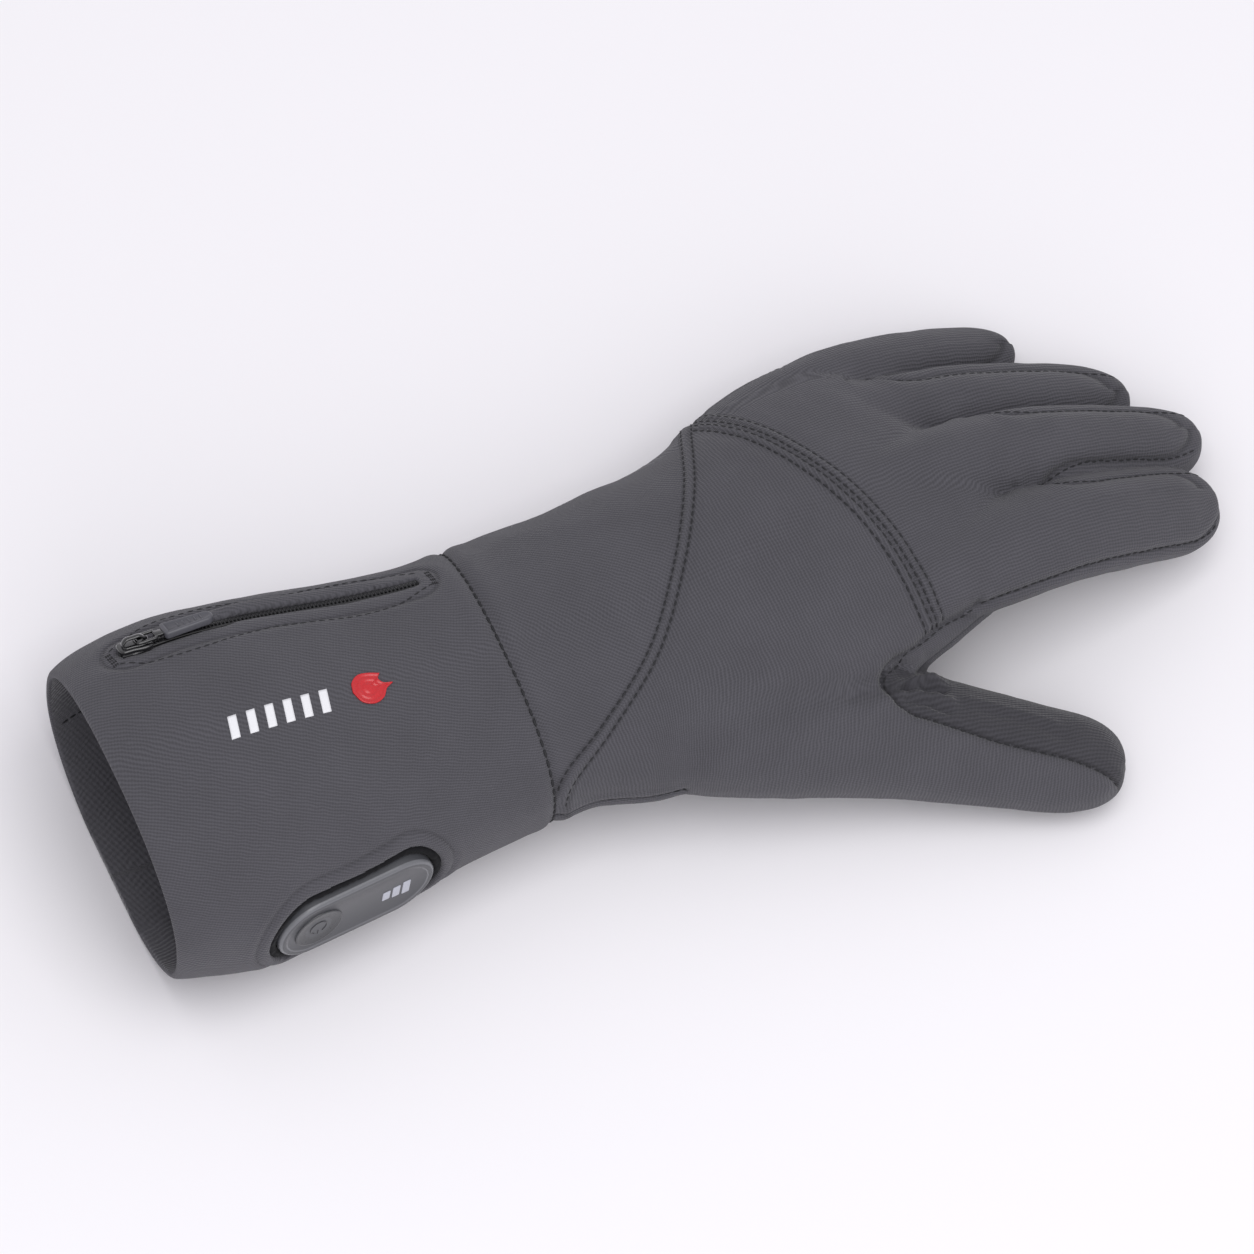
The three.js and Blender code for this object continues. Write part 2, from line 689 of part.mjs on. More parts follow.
const sliderOutline = roundedOutline(SLIDER_LENGTH, SLIDER_WIDTH, SLIDER_CORNER);
const neckOutline = roundedOutline(NECK_LENGTH, NECK_WIDTH, NECK_CORNER);
const barOutline = roundedOutline(BRIDGE_LENGTH, BRIDGE_WIDTH, BRIDGE_CORNER);

const zipSlider = unionOf([
  slab(sliderOutline, GAP, plateTop, headFrame, ZIP_BEVEL),
  slab(neckOutline, coilTop + GAP, 2 * GAP, headFrame),
  bridgePost(-1),
  bridgePost(1),
  slab(barOutline, barLow, barTop, headFrame),
]);

const linkStart = HINGE_PLACE - LINK_WIRE / 2;
const linkEnd = HINGE_PLACE + LINK_WINDOW;
const linkLow = hingeHeight - LINK_WIRE / 2;
const linkHigh = hingeHeight + LINK_WIRE / 2;

function linkBody() {
  const length = linkEnd + LINK_WIRE - linkStart;
  const frame = roundedOutline(length, LINK_WIDTH, LINK_CORNER, linkStart + length / 2);
  const open = LINK_WINDOW - LINK_WIRE / 2;
  const width = LINK_WIDTH - 2 * LINK_WIRE;
  const middle = linkEnd - open / 2;
  frame.holes.push(roundedOutline(open, width, WINDOW_CORNER, middle, new THREE.Path()));
  return slab(frame, linkLow, linkHigh, headFrame).add(tongueBody(0));
}

function tongueBody(grow) {
  const length = LINK_WIRE / 2 + TONGUE_LENGTH + grow;
  const middle = linkEnd + LINK_WIRE / 2 + length / 2;
  const outline = roundedOutline(length, TONGUE_WIDTH + 2 * grow, TONGUE_CORNER, middle);
  return slab(outline, linkLow - grow, linkHigh + grow, headFrame);
}

const tabStart = linkEnd + LINK_WIRE + TONGUE_LENGTH - TAB_OVERLAP;

function tabOutline() {
  const [near, far, end] = [TAB_WIDTH / 2, TAB_END_WIDTH / 2, tabStart + TAB_LENGTH];
  const shape = new THREE.Shape();
  shape.moveTo(tabStart + TAB_CORNER, -near);
  shape.lineTo(end - far, -far);
  shape.absarc(end - far, 0, far, -Math.PI / 2, Math.PI / 2);
  shape.lineTo(tabStart + TAB_CORNER, near);
  shape.quadraticCurveTo(tabStart, near, tabStart, near - TAB_CORNER);
  shape.lineTo(tabStart, TAB_CORNER - near);
  shape.quadraticCurveTo(tabStart, -near, tabStart + TAB_CORNER, -near);
  return shape;
}

const tabLow = hingeHeight - TAB_THICKNESS / 2;
const tabHigh = tabLow + TAB_THICKNESS;
const wholeTab = slab(tabOutline(), tabLow, tabHigh, headFrame, ZIP_BEVEL, TAB_STEPS);
const zipTab = wholeTab.subtract(tongueBody(GAP));

// Control unit, from the hem to the fingers: button, then the three lights

const unitFrame = cuffFrame(UNIT_PLACE, UNIT_ANGLE, UNIT_LENGTH / 2, UNIT_LENGTH / 2);

function unitSlab(grow, low, high, bevel = 0) {
  const outline = stadium(UNIT_LENGTH + 2 * grow, UNIT_WIDTH + 2 * grow);
  return slab(outline, low, high, unitFrame, bevel, ROUND_STEPS);
}

function lightOutline(place, grow) {
  const x = LIGHT_PLACE + place * LIGHT_PITCH;
  const height = LIGHT_HEIGHTS[place] + 2 * grow;
  return roundedOutline(LIGHT_WIDTH + 2 * grow, height, LIGHT_CORNER + grow, x);
}

function buttonSlab(grow, low, high, bevel = 0) {
  const radius = BUTTON_DIAMETER / 2 + grow;
  const outline = new THREE.Shape().absarc(BUTTON_PLACE, 0, radius, 0, 2 * Math.PI);
  return slab(outline, low, high, unitFrame, bevel, 2 * ROUND_STEPS);
}

const collarHigh = -WALL - GAP;
const lapped = WINDOW_MARGIN + COLLAR_LAP;
const window = unitSlab(WINDOW_MARGIN, -DEEP, THROUGH);
const unitRoom = unitSlab(GAP, -DEEP, THROUGH);
const unitCollar = cuffLayer(collarHigh - COLLAR_THICKNESS, collarHigh)
  .intersect(unitSlab(lapped, -DEEP, THROUGH))
  .subtract(unitRoom);

const unitBody = unitSlab(0, UNIT_PROUD - UNIT_DEPTH, UNIT_PROUD, UNIT_BEVEL)
  .subtract(buttonSlab(GAP, UNIT_PROUD - BUTTON_DEPTH, UNIT_DEPTH))
  .subtract(
    unionOf(
      LIGHT_HEIGHTS.map((_, place) =>
        slab(lightOutline(place, GAP), UNIT_PROUD - LIGHT_DEPTH, UNIT_DEPTH, unitFrame),
      ),
    ),
  );

// Nodes

const MATERIALS = {
  cloth: { color: 0x56565b, roughness: 0.92, metalness: 0 },
  tape: { color: 0x2b2b2e, roughness: 0.9, metalness: 0 },
  coil: { color: 0x18181a, roughness: 0.55, metalness: 0 },
  zipMetal: { color: 0x141416, roughness: 0.3, metalness: 0.8 },
  tab: { color: 0x5a5a60, roughness: 0.4, metalness: 0 },
  collar: { color: 0x1b1b1e, roughness: 0.95, metalness: 0 },
  unit: { color: 0x6a6b6e, roughness: 0.45, metalness: 0 },
  button: { color: 0x5f6062, roughness: 0.35, metalness: 0 },
  light: { color: 0xb9bcc6, roughness: 0.3, metalness: 0 },
  mark: { color: 0xc4161c, roughness: 0.4, metalness: 0 },
  print: { color: 0xf2f2f4, roughness: 0.6, metalness: 0 },
};

const group = new THREE.Group();
group.name = "heated_glove";

function addNode(name, body, material) {
  const finish = new THREE.MeshStandardMaterial(MATERIALS[material]);
  const mesh = new THREE.Mesh(geometryOf(body), finish);
  mesh.name = name;
  group.add(mesh);
}

addNode("cuff", panels.cuff.subtract(slot).subtract(window), "cloth");
for (const name of Object.keys(panels).slice(1)) addNode(name, biggest(panels[name]), "cloth");

addNode("zip_tape", zipTape, "tape");
addNode("zip_coil", zipCoil, "coil");
addNode("zip_slider", zipSlider, "zipMetal");
addNode("zip_link", linkBody(), "zipMetal");
addNode("zip_tab", zipTab, "tab");

addNode("unit_collar", unitCollar, "collar");
addNode("unit_body", unitBody, "unit");
const buttonLow = UNIT_PROUD - BUTTON_DEPTH + GAP;
addNode("unit_button", buttonSlab(0, buttonLow, UNIT_PROUD + GAP, BUTTON_BEVEL), "button");
LIGHT_HEIGHTS.forEach((_, place) => {
  const bar = slab(lightOutline(place, 0), UNIT_PROUD - LIGHT_DEPTH + GAP, UNIT_PROUD, unitFrame);
  addNode(`unit_light_${place + 1}`, bar, "light");
});

// Prints on the back of the cuff: a flame, and a row of slanting bars

const printLayer = cuffLayer(GAP, GAP + PRINT_THICKNESS);
const markFrame = cuffFrame(MARK_PLACE, MARK_ANGLE, MARK_LENGTH / 2, MARK_LENGTH / 2);
const barsFrame = cuffFrame(BARS_PLACE, MARK_ANGLE, BAR_PITCH, BAR_PITCH);

function flameOutline() {
  const [x, y] = [MARK_LENGTH / 2, MARK_WIDTH / 2];
  const shape = new THREE.Shape();
  shape.moveTo(-x, 0);
  shape.bezierCurveTo(-x, y, -0.3 * x, 1.15 * y, 0.15 * x, 0.75 * y);
  shape.quadraticCurveTo(0.35 * x, 0.55 * y, 0.6 * x, 0.65 * y);
  shape.quadraticCurveTo(0.45 * x, 0.25 * y, x, -0.1 * y);
  shape.bezierCurveTo(0.5 * x, -0.3 * y, 0.4 * x, -0.9 * y, -0.2 * x, -y);
  shape.bezierCurveTo(-0.7 * x, -y, -x, -0.6 * y, -x, 0);
  return shape;
}

const markCutter = slab(flameOutline(), -THROUGH, THROUGH, markFrame, 0, FLAME_STEPS);
addNode("heat_mark", printLayer.intersect(markCutter), "mark");

for (let place = 0; place < BAR_COUNT; place++) {
  const x = (place - (BAR_COUNT - 1) / 2) * BAR_PITCH;
  const [half, slant] = [BAR_WIDTH / 2, BAR_SLANT / 2];
  const bar = new THREE.Shape([
    new THREE.Vector2(x - half - slant, -BAR_LENGTH / 2),
    new THREE.Vector2(x + half - slant, -BAR_LENGTH / 2),
    new THREE.Vector2(x + half + slant, BAR_LENGTH / 2),
    new THREE.Vector2(x - half + slant, BAR_LENGTH / 2),
  ]);
  const cutter = slab(bar, -THROUGH, THROUGH, barsFrame);
  addNode(`print_bar_${place + 1}`, printLayer.intersect(cutter), "print");
}

// The origin goes under the middle of the glove, on the floor.
const bounds = new THREE.Box3().setFromObject(group);
const shift = bounds.getCenter(new THREE.Vector3()).setZ(bounds.min.z).negate();
group.children.forEach((mesh) => mesh.geometry.translate(shift.x, shift.y, shift.z));

export default group;
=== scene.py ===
"""The left-hand heated liner glove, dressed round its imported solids.

The classes hold their sizes in millimetres, in the glove's own layout: the hem is at x 0 and
the floor at z 0, +X runs to the fingertips, +Y to the little finger and +Z up. A finished
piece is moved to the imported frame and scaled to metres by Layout.
"""

import json
import logging
import math
from collections.abc import Callable, Iterable, Sequence
from dataclasses import dataclass, field
from enum import Enum
from functools import partial

import bmesh
import bpy
import numpy as np
from bmesh.types import BMEdge, BMesh, BMFace, BMVert
from bpy.types import Material, Mesh, NodeSocket, Object, ShaderNode
from mathutils import Matrix, Vector, noise
from mathutils.bvhtree import BVHTree

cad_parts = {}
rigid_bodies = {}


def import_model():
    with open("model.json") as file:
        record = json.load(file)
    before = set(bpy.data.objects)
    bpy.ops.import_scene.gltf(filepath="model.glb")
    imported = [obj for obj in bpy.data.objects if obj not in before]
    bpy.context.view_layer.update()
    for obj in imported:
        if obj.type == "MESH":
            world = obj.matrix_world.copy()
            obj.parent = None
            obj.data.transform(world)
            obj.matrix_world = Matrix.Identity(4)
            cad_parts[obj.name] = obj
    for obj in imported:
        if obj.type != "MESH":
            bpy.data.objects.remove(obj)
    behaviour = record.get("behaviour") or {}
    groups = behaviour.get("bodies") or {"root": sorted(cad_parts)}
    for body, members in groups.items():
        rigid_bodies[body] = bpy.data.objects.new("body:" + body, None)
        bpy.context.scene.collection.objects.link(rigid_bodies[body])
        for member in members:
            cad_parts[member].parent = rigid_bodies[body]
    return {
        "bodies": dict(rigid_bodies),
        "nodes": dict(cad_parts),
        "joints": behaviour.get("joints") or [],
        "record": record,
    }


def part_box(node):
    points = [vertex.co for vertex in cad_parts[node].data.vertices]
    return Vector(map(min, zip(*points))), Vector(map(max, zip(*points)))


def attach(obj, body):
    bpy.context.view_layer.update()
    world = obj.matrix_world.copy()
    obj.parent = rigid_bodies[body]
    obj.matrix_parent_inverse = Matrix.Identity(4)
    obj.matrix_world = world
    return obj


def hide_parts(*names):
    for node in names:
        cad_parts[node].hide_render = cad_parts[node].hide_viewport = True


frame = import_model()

log = logging.getLogger("glove")

Array = np.ndarray
Rows = Sequence[Sequence[float]]
Pair = tuple[float, float]

MM = 0.001
SQUARENESS = 0.88  # sections of the cuff and hand are a little squarer than an ellipse

# Driving sizes, as in the solids
WALL = 2.2
GAP = 0.3
CUFF_LENGTH = 116.0
CUFF_WIDTH = 104.0
CUFF_HEIGHT = 70.0
HAND_LENGTH = 142.0
PALM_WIDTH = 101.0
PALM_HEIGHT = 43.0
HAND_SHIFT = 23.0
KNUCKLE_LIFT = 37.0
KNUCKLE_ARCH = 8.0
KNUCKLE_TILT = 5.0
KNUCKLE_YAW = 24.0
FINGER_LENGTH = 107.0
FINGER_WIDTH = 28.0
FINGER_HEIGHT = 27.0
FINGER_PRESS = 1.0
FINGER_FILL = 1.024  # the sewn fingertips reach this much further than the solids'
RIB_RADIUS = 44.0  # turns an angle round the sleeve into a length of cloth

# along, width, height, base, side, lean
CUFF_ROWS = (
    (0.0, 0.9, 0.94, -0.03, -0.004, 0.012),
    (0.03, 0.93, 0.96, -0.03, -0.006, 0.012),
    (0.13, 0.985, 1.0, -0.035, -0.01, 0.005),
    (0.26, 1.0, 1.01, -0.035, -0.01, 0.005),
    (0.4, 0.975, 0.98, -0.03, -0.009, 0.0),
    (0.55, 0.935, 0.92, -0.02, -0.006, 0.0),
    (0.72, 0.865, 0.84, 0.0, 0.004, 0.0),
    (0.88, 0.825, 0.77, 0.035, 0.004, 0.0),
    (1.0, 0.815, 0.74, 0.055, 0.011, 0.0),
)
# along, width, height, lift, shift, bend
HAND_ROWS = (
    (0.09, 0.845, 1.16, 0.8, 0.07, 0.0),
    (0.21, 0.9, 1.12, 0.81, -0.02, 0.06),
    (0.35, 0.93, 1.07, 0.85, 0.0, 0.2),
    (0.49, 0.94, 1.03, 0.92, 0.06, 0.42),
    (0.63, 0.97, 0.97, 0.97, 0.28, 0.7),
    (0.76, 0.98, 0.85, 1.0, 0.58, 0.9),
    (0.87, 0.96, 0.71, 0.99, 0.82, 1.0),
    (0.95, 0.92, 0.54, 0.96, 0.95, 1.0),
    (1.0, 0.84, 0.28, 0.93, 0.98, 1.0),
)
# along, width, height, rise; a digit's end is rounded from its table's cap on
FINGER_ROWS = (
    (0.0, 0.9, 1.03, 1.0),
    (0.32, 1.0, 1.0, 0.96),
    (0.54, 0.98, 0.97, 0.75),
    (0.74, 0.93, 0.92, 0.35),
    (0.87, 0.9, 0.88, 0.06),
    (1.0, 0.86, 0.84, -0.05),
)
WEB_ROWS = (
    (0.0, 0.8, 0.8, 1.0),
    (0.4, 1.0, 1.0, 1.0),
    (0.72, 0.95, 0.95, 0.98),
    (1.0, 0.7, 0.7, 0.88),
)
THUMB_ROWS = (
    (0.0, 0.86, 0.86, 1.0),
    (0.12, 1.02, 1.0, 0.97),
    (0.3, 0.95, 0.96, 0.84),
    (0.55, 0.735, 0.79, 0.51),
    (0.75, 0.63, 0.68, 0.2),
    (0.87, 0.575, 0.64, 0.03),
    (1.0, 0.55, 0.6, -0.03),
)
# name, reach, width, height, root, across, drop, hover, spread, bow
FINGERS = (
    ("index", 0.885, 1.03, 1.0, 0.74, -0.65, -0.05, 0.2, 4.7, 0.0),
    ("middle", 1.02, 0.94, 0.96, 0.75, 0.03, -0.1, 0.12, -1.7, 0.0),
    ("ring", 1.03, 0.86, 0.9, 0.72, 0.55, 0.02, 0.02, -2.8, 0.015),
    ("little", 0.97, 0.75, 0.79, 0.62, 0.83, 0.02, 0.0, 5.5, 0.035),
)

# Seams over the back of the hand: shares of HAND_LENGTH and of half PALM_WIDTH
WRIST_SEAM = (
    (0.64, 1.5), (0.55, 1.0), (0.49, 0.6), (0.385, 0.09), (0.26, -0.35), (0.125, -0.62),
    (0.01, -0.8), (-0.08, -1.2), (-0.2, -2.4),
)
KNUCKLE_SEAM = (
    (0.45, 1.5), (0.59, 1.06), (0.66, 0.79), (0.73, 0.38), (0.79, -0.08), (0.817, -0.53),
    (0.824, -0.68), (0.83, -1.2),
)


def hermite(knots: Array, values: Array, at: Array) -> Array:
    """A smooth curve through the values of a table.

    Args:
        knots: Places of the values, rising.
        values: One value at each knot.
        at: Places to read the curve at.

    Returns:
        The curve's values, held at the ends beyond the table.
    """
    slopes = np.gradient(values, knots)
    at = np.clip(np.asarray(at, float), knots[0], knots[-1])
    row = np.clip(np.searchsorted(knots, at, side="right") - 1, 0, len(knots) - 2)
    span = knots[row + 1] - knots[row]
    t = (at - knots[row]) / span
    return (
        (2 * t**3 - 3 * t**2 + 1) * values[row]
        + (t**3 - 2 * t**2 + t) * span * slopes[row]
        + (3 * t**2 - 2 * t**3) * values[row + 1]
        + (t**3 - t**2) * span * slopes[row + 1]
    )


def signed_power(value: Array, exponent: float) -> Array:
    """A power that keeps the value's sign."""
    return np.sign(value) * np.abs(value) ** exponent


def smoothstep(value: Array, low: float, high: float) -> Array:
    """0 below low, 1 above high, smooth between. Works with low above high too."""
    t = np.clip((value - low) / (high - low), 0.0, 1.0)
    return t * t * (3 - 2 * t)


def ridge(distance: Array, width: float) -> Array:
    """A bell over distance, 1 in its middle."""
    return np.exp(-((distance / width) ** 2))


def on_floor(points: Array, floor: float = 0.0) -> Array:
    """Presses the part of a form that is under the floor flat, with a soft edge."""
    soft = 0.8
    z = points[..., 2] - floor
    points[..., 2] = floor + 0.5 * (z + np.sqrt(z * z + soft * soft))
    return points


def unit(vectors: Array) -> Array:
    """The direction of each row of an array."""
    return vectors / np.linalg.norm(vectors, axis=1, keepdims=True)


def way_along(points: Array) -> Array:
    """Each point's distance from the start of a polyline, along it."""
    return np.concatenate([[0.0], np.cumsum(np.linalg.norm(np.diff(points, axis=0), axis=1))])


def ripples(points: Array, *waves: Pair) -> Array:
    """Smooth random heights at points.

    Args:
        points: Points in the layout.
        waves: Height and length of each wave of the sum.

    Returns:
        A height for each point.
    """
    rows = points.tolist()
    return np.array([sum(h * noise.noise(Vector(p) / long) for h, long in waves) for p in rows])


def axes(origin: Vector, along: Vector, across: Vector, out: Vector) -> Matrix:
    """A frame from its origin and its three directions."""
    return Matrix.Translation(origin) @ Matrix((along, across, out)).transposed().to_4x4()


@dataclass(frozen=True)
class Layout:
    """Where the glove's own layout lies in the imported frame."""

    x: float
    y: float

    @classmethod
    def from_frame(cls) -> "Layout":
        """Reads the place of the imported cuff, whose end and width are known here too."""
        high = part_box("cuff")[1]
        widest = max(row[4] * CUFF_WIDTH + row[1] * CUFF_WIDTH / 2 for row in CUFF_ROWS)
        return cls(high.x / MM - (CUFF_LENGTH - GAP / 2), high.y / MM - widest)

    @property
    def matrix(self) -> Matrix:
        """From the layout's millimetres to the frame's metres."""
        return Matrix.Scale(MM, 4) @ Matrix.Translation((self.x, self.y, 0.0))


@dataclass
class Trunk:
    """Sections of the cuff and hand along x."""

    table: Array = field(init=False)

    def __post_init__(self) -> None:
        """Turns the two tables of shares into sizes."""
        rows = []
        for along, width, height, base, side, lean in CUFF_ROWS:
            half = height * CUFF_HEIGHT / 2
            x, y, z = along * CUFF_LENGTH, side * CUFF_WIDTH, base * CUFF_HEIGHT + half
            rows.append((x, y, z, width * CUFF_WIDTH / 2, half, lean * CUFF_LENGTH, 0, 0, 0))
        for along, width, height, lift, shift, bend in HAND_ROWS:
            x, y, z = CUFF_LENGTH + along * HAND_LENGTH, shift * HAND_SHIFT, lift * KNUCKLE_LIFT
            sizes = (width * PALM_WIDTH / 2, height * PALM_HEIGHT / 2)
            knuckles = (bend * math.radians(KNUCKLE_YAW), bend * KNUCKLE_ARCH, bend * KNUCKLE_TILT)
            rows.append((x, y, z, *sizes, 0, *knuckles))
        self.table = np.array(rows, float)

    def section(self, x: Array, smooth: bool = True) -> list[Array]:
        """Middle, half sizes, lean, yaw, arch and tilt of the sections at x.

        Args:
            x: Places along the trunk.
            smooth: Curves between the rows; False gives the solids' straight runs.

        Returns:
            y, z, half width, half height, lean, yaw, arch and tilt.
        """
        read = hermite if smooth else lambda knots, values, at: np.interp(at, knots, values)
        return [read(self.table[:, 0], self.table[:, column], x) for column in range(1, 9)]

    def at(
        self, x: Array, cosine: Array, sine: Array, grow: float | Array = 0.0,
        smooth: bool = True,
    ) -> Array:
        """Points of sections by their share across and up.

        Args:
            x: Places along the trunk.
            cosine: Shares of the half width.
            sine: Shares of the half height.
            grow: Distance out of the outer face.
            smooth: As in section.

        Returns:
            An array of points.
        """
        y, z, half_width, half_height, lean, yaw, arch, tilt = self.section(x, smooth)
        reach = (half_width + grow) * cosine
        bend = -tilt * cosine - arch * cosine * cosine
        place = (
            x - reach * np.sin(yaw) - lean * sine, y + reach * np.cos(yaw),
            z + (half_height + grow) * sine + bend,
        )
        return np.stack(np.broadcast_arrays(*place), axis=-1)

    def points(
        self, x: Array, degrees: Array, grow: float | Array = 0.0, smooth: bool = True,
    ) -> Array:
        """Points on the outer face at angles round the sections, from +Y upwards.

        Args:
            x: Places along the trunk.
            degrees: Angles round it.
            grow: Distance out of the outer face.
            smooth: As in section.

        Returns:
            An array of points.
        """
        turn = np.radians(degrees)
        cosine = signed_power(np.cos(turn), SQUARENESS)
        sine = signed_power(np.sin(turn), SQUARENESS)
        return self.at(x, cosine, sine, grow, smooth)

    def locate(self, points: Array) -> tuple[Array, Array, Array]:
        """The place along and round the trunk of points near it.

        Args:
            points: Points in the layout.

        Returns:
            x, the angle in degrees, and the distance from the middle as a share.
        """
        x = points[:, 0].copy()
        for _ in range(3):
            y, z, half_width, half_height, lean, yaw, arch, tilt = self.section(x)
            cosine = (points[:, 1] - y) / (half_width * np.cos(yaw))
            sine = (points[:, 2] - z + tilt * cosine + arch * cosine**2) / half_height
            x = points[:, 0] + half_width * cosine * np.sin(yaw) + lean * sine
        power = 1 / SQUARENESS
        around = np.arctan2(signed_power(sine, power), signed_power(cosine, power))
        share = (np.abs(cosine) ** (2 * power) + np.abs(sine) ** (2 * power)) ** (SQUARENESS / 2)
        return x, np.degrees(around) % 360.0, share


@dataclass
class Digit:
    """A finger, the thumb or the web: sections along a line that sinks to its tip."""

    name: str
    start: Array
    heading: float
    bow: float
    reach: float
    width: float
    height: float
    hover: float
    rows: Rows
    cap: float
    tip_height: float

    def __post_init__(self) -> None:
        """Keeps the table as columns."""
        self.table = np.array(self.rows, float)
        self.along = np.array([math.cos(self.heading), math.sin(self.heading), 0.0])
        self.across = np.array([-math.sin(self.heading), math.cos(self.heading), 0.0])

    def column(self, number: int, t: Array) -> Array:
        """A column of the table, read smoothly at shares of the reach."""
        return hermite(self.table[:, 0], self.table[:, number], t)

    def middle_height(self, t: Array) -> Array:
        """Height of the middle line over the floor."""
        tip = self.tip_height * self.height / 2 + self.hover
        return tip + (self.start[2] - tip) * self.column(3, t)

    def rounding(self, t: Array) -> Array:
        """How far the end cap narrows the digit."""
        share = np.clip((t - self.cap) / (1 - self.cap), 0.0, 1.0)
        return np.maximum(1 - share**2.4, 0.0) ** (1 / 2.4)

    def frame(self, t: Array) -> tuple[Array, Array, Array, Array]:
        """Middles, up directions and half sizes at shares of the reach.

        Args:
            t: Shares of the reach.

        Returns:
            Middles, up directions, half widths and half heights.
        """
        t = np.asarray(t, float)
        step = 0.01
        rise = (self.middle_height(t + step) - self.middle_height(t - step)) / (2 * step)
        slope = (rise / self.reach)[..., None]
        middle = self.start + t[..., None] * self.reach * self.along
        middle = middle + (4 * self.bow * self.reach * t * (1 - t))[..., None] * self.across
        middle[..., 2] = self.middle_height(t)
        up = np.array([0.0, 0.0, 1.0]) - slope * self.along
        up /= np.linalg.norm(up, axis=-1, keepdims=True)
        return middle, up, self.column(1, t) * self.width / 2, self.column(2, t) * self.height / 2

    def points(self, t: Array, degrees: Array, grow: float = 0.0) -> Array:
        """Points on the outer face at shares of the reach and angles from +Y upwards.

        Args:
            t: Shares of the reach.
            degrees: Angles round the digit.
            grow: Distance out of the outer face.

        Returns:
            An array of points.
        """
        middle, up, half_width, half_height = self.frame(t)
        turn, narrow = np.radians(degrees), self.rounding(t)
        wide = np.maximum((half_width + grow) * narrow, 0.0) * np.cos(turn)
        high = np.maximum((half_height + grow) * narrow, 0.0) * np.sin(turn)
        return middle + wide[..., None] * self.across + high[..., None] * up

    def locate(self, points: Array) -> tuple[Array, ...]:
        """Where points lie on the digit.

        Args:
            points: Points in the layout.

        Returns:
            Share of the reach, distance across, distance up, and the distance from the
            middle as a share of the half sizes.
        """
        away = points - self.start
        t = (away @ self.along) / self.reach
        for _ in range(3):
            middle, up, half_width, half_height = self.frame(np.clip(t, 0.0, 1.0))
            offset = points - middle
            high = np.einsum("ij,ij->i", offset, up)
            t = (away @ self.along - high * (up @ self.along)) / self.reach
        wide = offset @ self.across
        narrow = np.maximum(self.rounding(t), 0.2)
        share = np.hypot(wide / (half_width * narrow), high / (half_height * narrow))
        return t, wide, high, share + 3 * np.abs(t - np.clip(t, 0.0, 1.02))


class Form:
    """The whole outer form: the trunk and the digits."""

    def __init__(self) -> None:
        """Builds the trunk and roots each digit on it."""
        self.trunk = Trunk()
        self.fingers = [self.finger(*row) for row in FINGERS]
        self.thumb = self.thumb_side("thumb", 0.23, -0.331, 26.5, (138.5, 51.0, 40.0), THUMB_ROWS)
        self.web = self.thumb_side("web", 0.38, -0.26, 16.0, (51.0, 20.0, 24.0), WEB_ROWS)
        self.digits = [*self.fingers, self.thumb, self.web]

    def root(self, along: float, across: float, drop: float) -> Array:
        """A point inside the hand where a digit starts.

        Args:
            along: Share of HAND_LENGTH from the cuff.
            across: Share of the half width there.
            drop: Share of KNUCKLE_LIFT to go down.

        Returns:
            The point.
        """
        x = np.array(CUFF_LENGTH + along * HAND_LENGTH)
        point = self.trunk.at(x, np.array(across), np.array(0.0), smooth=False)
        return point - np.array([0.0, 0.0, drop * KNUCKLE_LIFT])

    def finger(self, name: str, *row: float) -> Digit:
        """A finger from its row of the table.

        Args:
            name: The finger.
            row: The other columns of FINGERS.

        Returns:
            The digit.
        """
        reach, width, height, root, across, drop, hover, spread, bow = row
        return Digit(
            name=name, start=self.root(root, across, drop), heading=math.radians(spread), bow=bow,
            reach=reach * FINGER_LENGTH * FINGER_FILL, width=width * FINGER_WIDTH,
            height=height * FINGER_HEIGHT, hover=hover * FINGER_HEIGHT - FINGER_PRESS,
            rows=FINGER_ROWS, cap=0.8, tip_height=0.83,
        )

    def thumb_side(
        self, name: str, root: float, across: float, spread: float,
        sizes: tuple[float, float, float], rows: Rows,
    ) -> Digit:
        """The thumb or its web.

        Args:
            name: Which of the two.
            root: Share of HAND_LENGTH where it starts.
            across: Share of the half width where it starts.
            spread: Angle away from +X in degrees.
            sizes: Reach, width and height.
            rows: Its table.

        Returns:
            The digit.
        """
        is_thumb = rows is THUMB_ROWS
        return Digit(
            name=name, start=self.root(root, across, 0.0), heading=-math.radians(spread), bow=0.0,
            reach=sizes[0], width=sizes[1], height=sizes[2],
            hover=-FINGER_PRESS if is_thumb else 0.0, rows=rows, cap=0.84 if is_thumb else 0.7,
            tip_height=0.62 if is_thumb else 0.9,
        )


def smooth_line(points: Rows, step: float = 1.0) -> Array:
    """A smooth curve through a few given points, as close points.

    Args:
        points: Points of any dimension.
        step: Distance between the points that come back.

    Returns:
        An array of points.
    """
    points = np.array(points, float)
    places = way_along(points)
    at = np.linspace(0.0, places[-1], max(2, int(places[-1] / step) + 1))
    return np.stack([hermite(places, column, at) for column in points.T], axis=1)


def line_distance(points: Array, line: Array) -> Array:
    """Distance from a line in plan, positive on its left side.

    Args:
        points: Points whose x and y count.
        line: Points of the line in plan.

    Returns:
        A signed distance for each point.
    """
    best = np.full(len(points), 1e9)
    signed = np.full(len(points), 1e9)
    for start, end in zip(line[:-1], line[1:]):
        run = end[:2] - start[:2]
        away = points[:, :2] - start[:2]
        share = np.clip(away @ run / (run @ run), 0.0, 1.0)
        distance = np.linalg.norm(away - share[:, None] * run, axis=1)
        side = np.sign(run[0] * away[:, 1] - run[1] * away[:, 0])
        nearer = distance < best
        best[nearer] = distance[nearer]
        signed[nearer] = (distance * np.where(side == 0, 1, side))[nearer]
    return signed


# Helpers that shape meshes


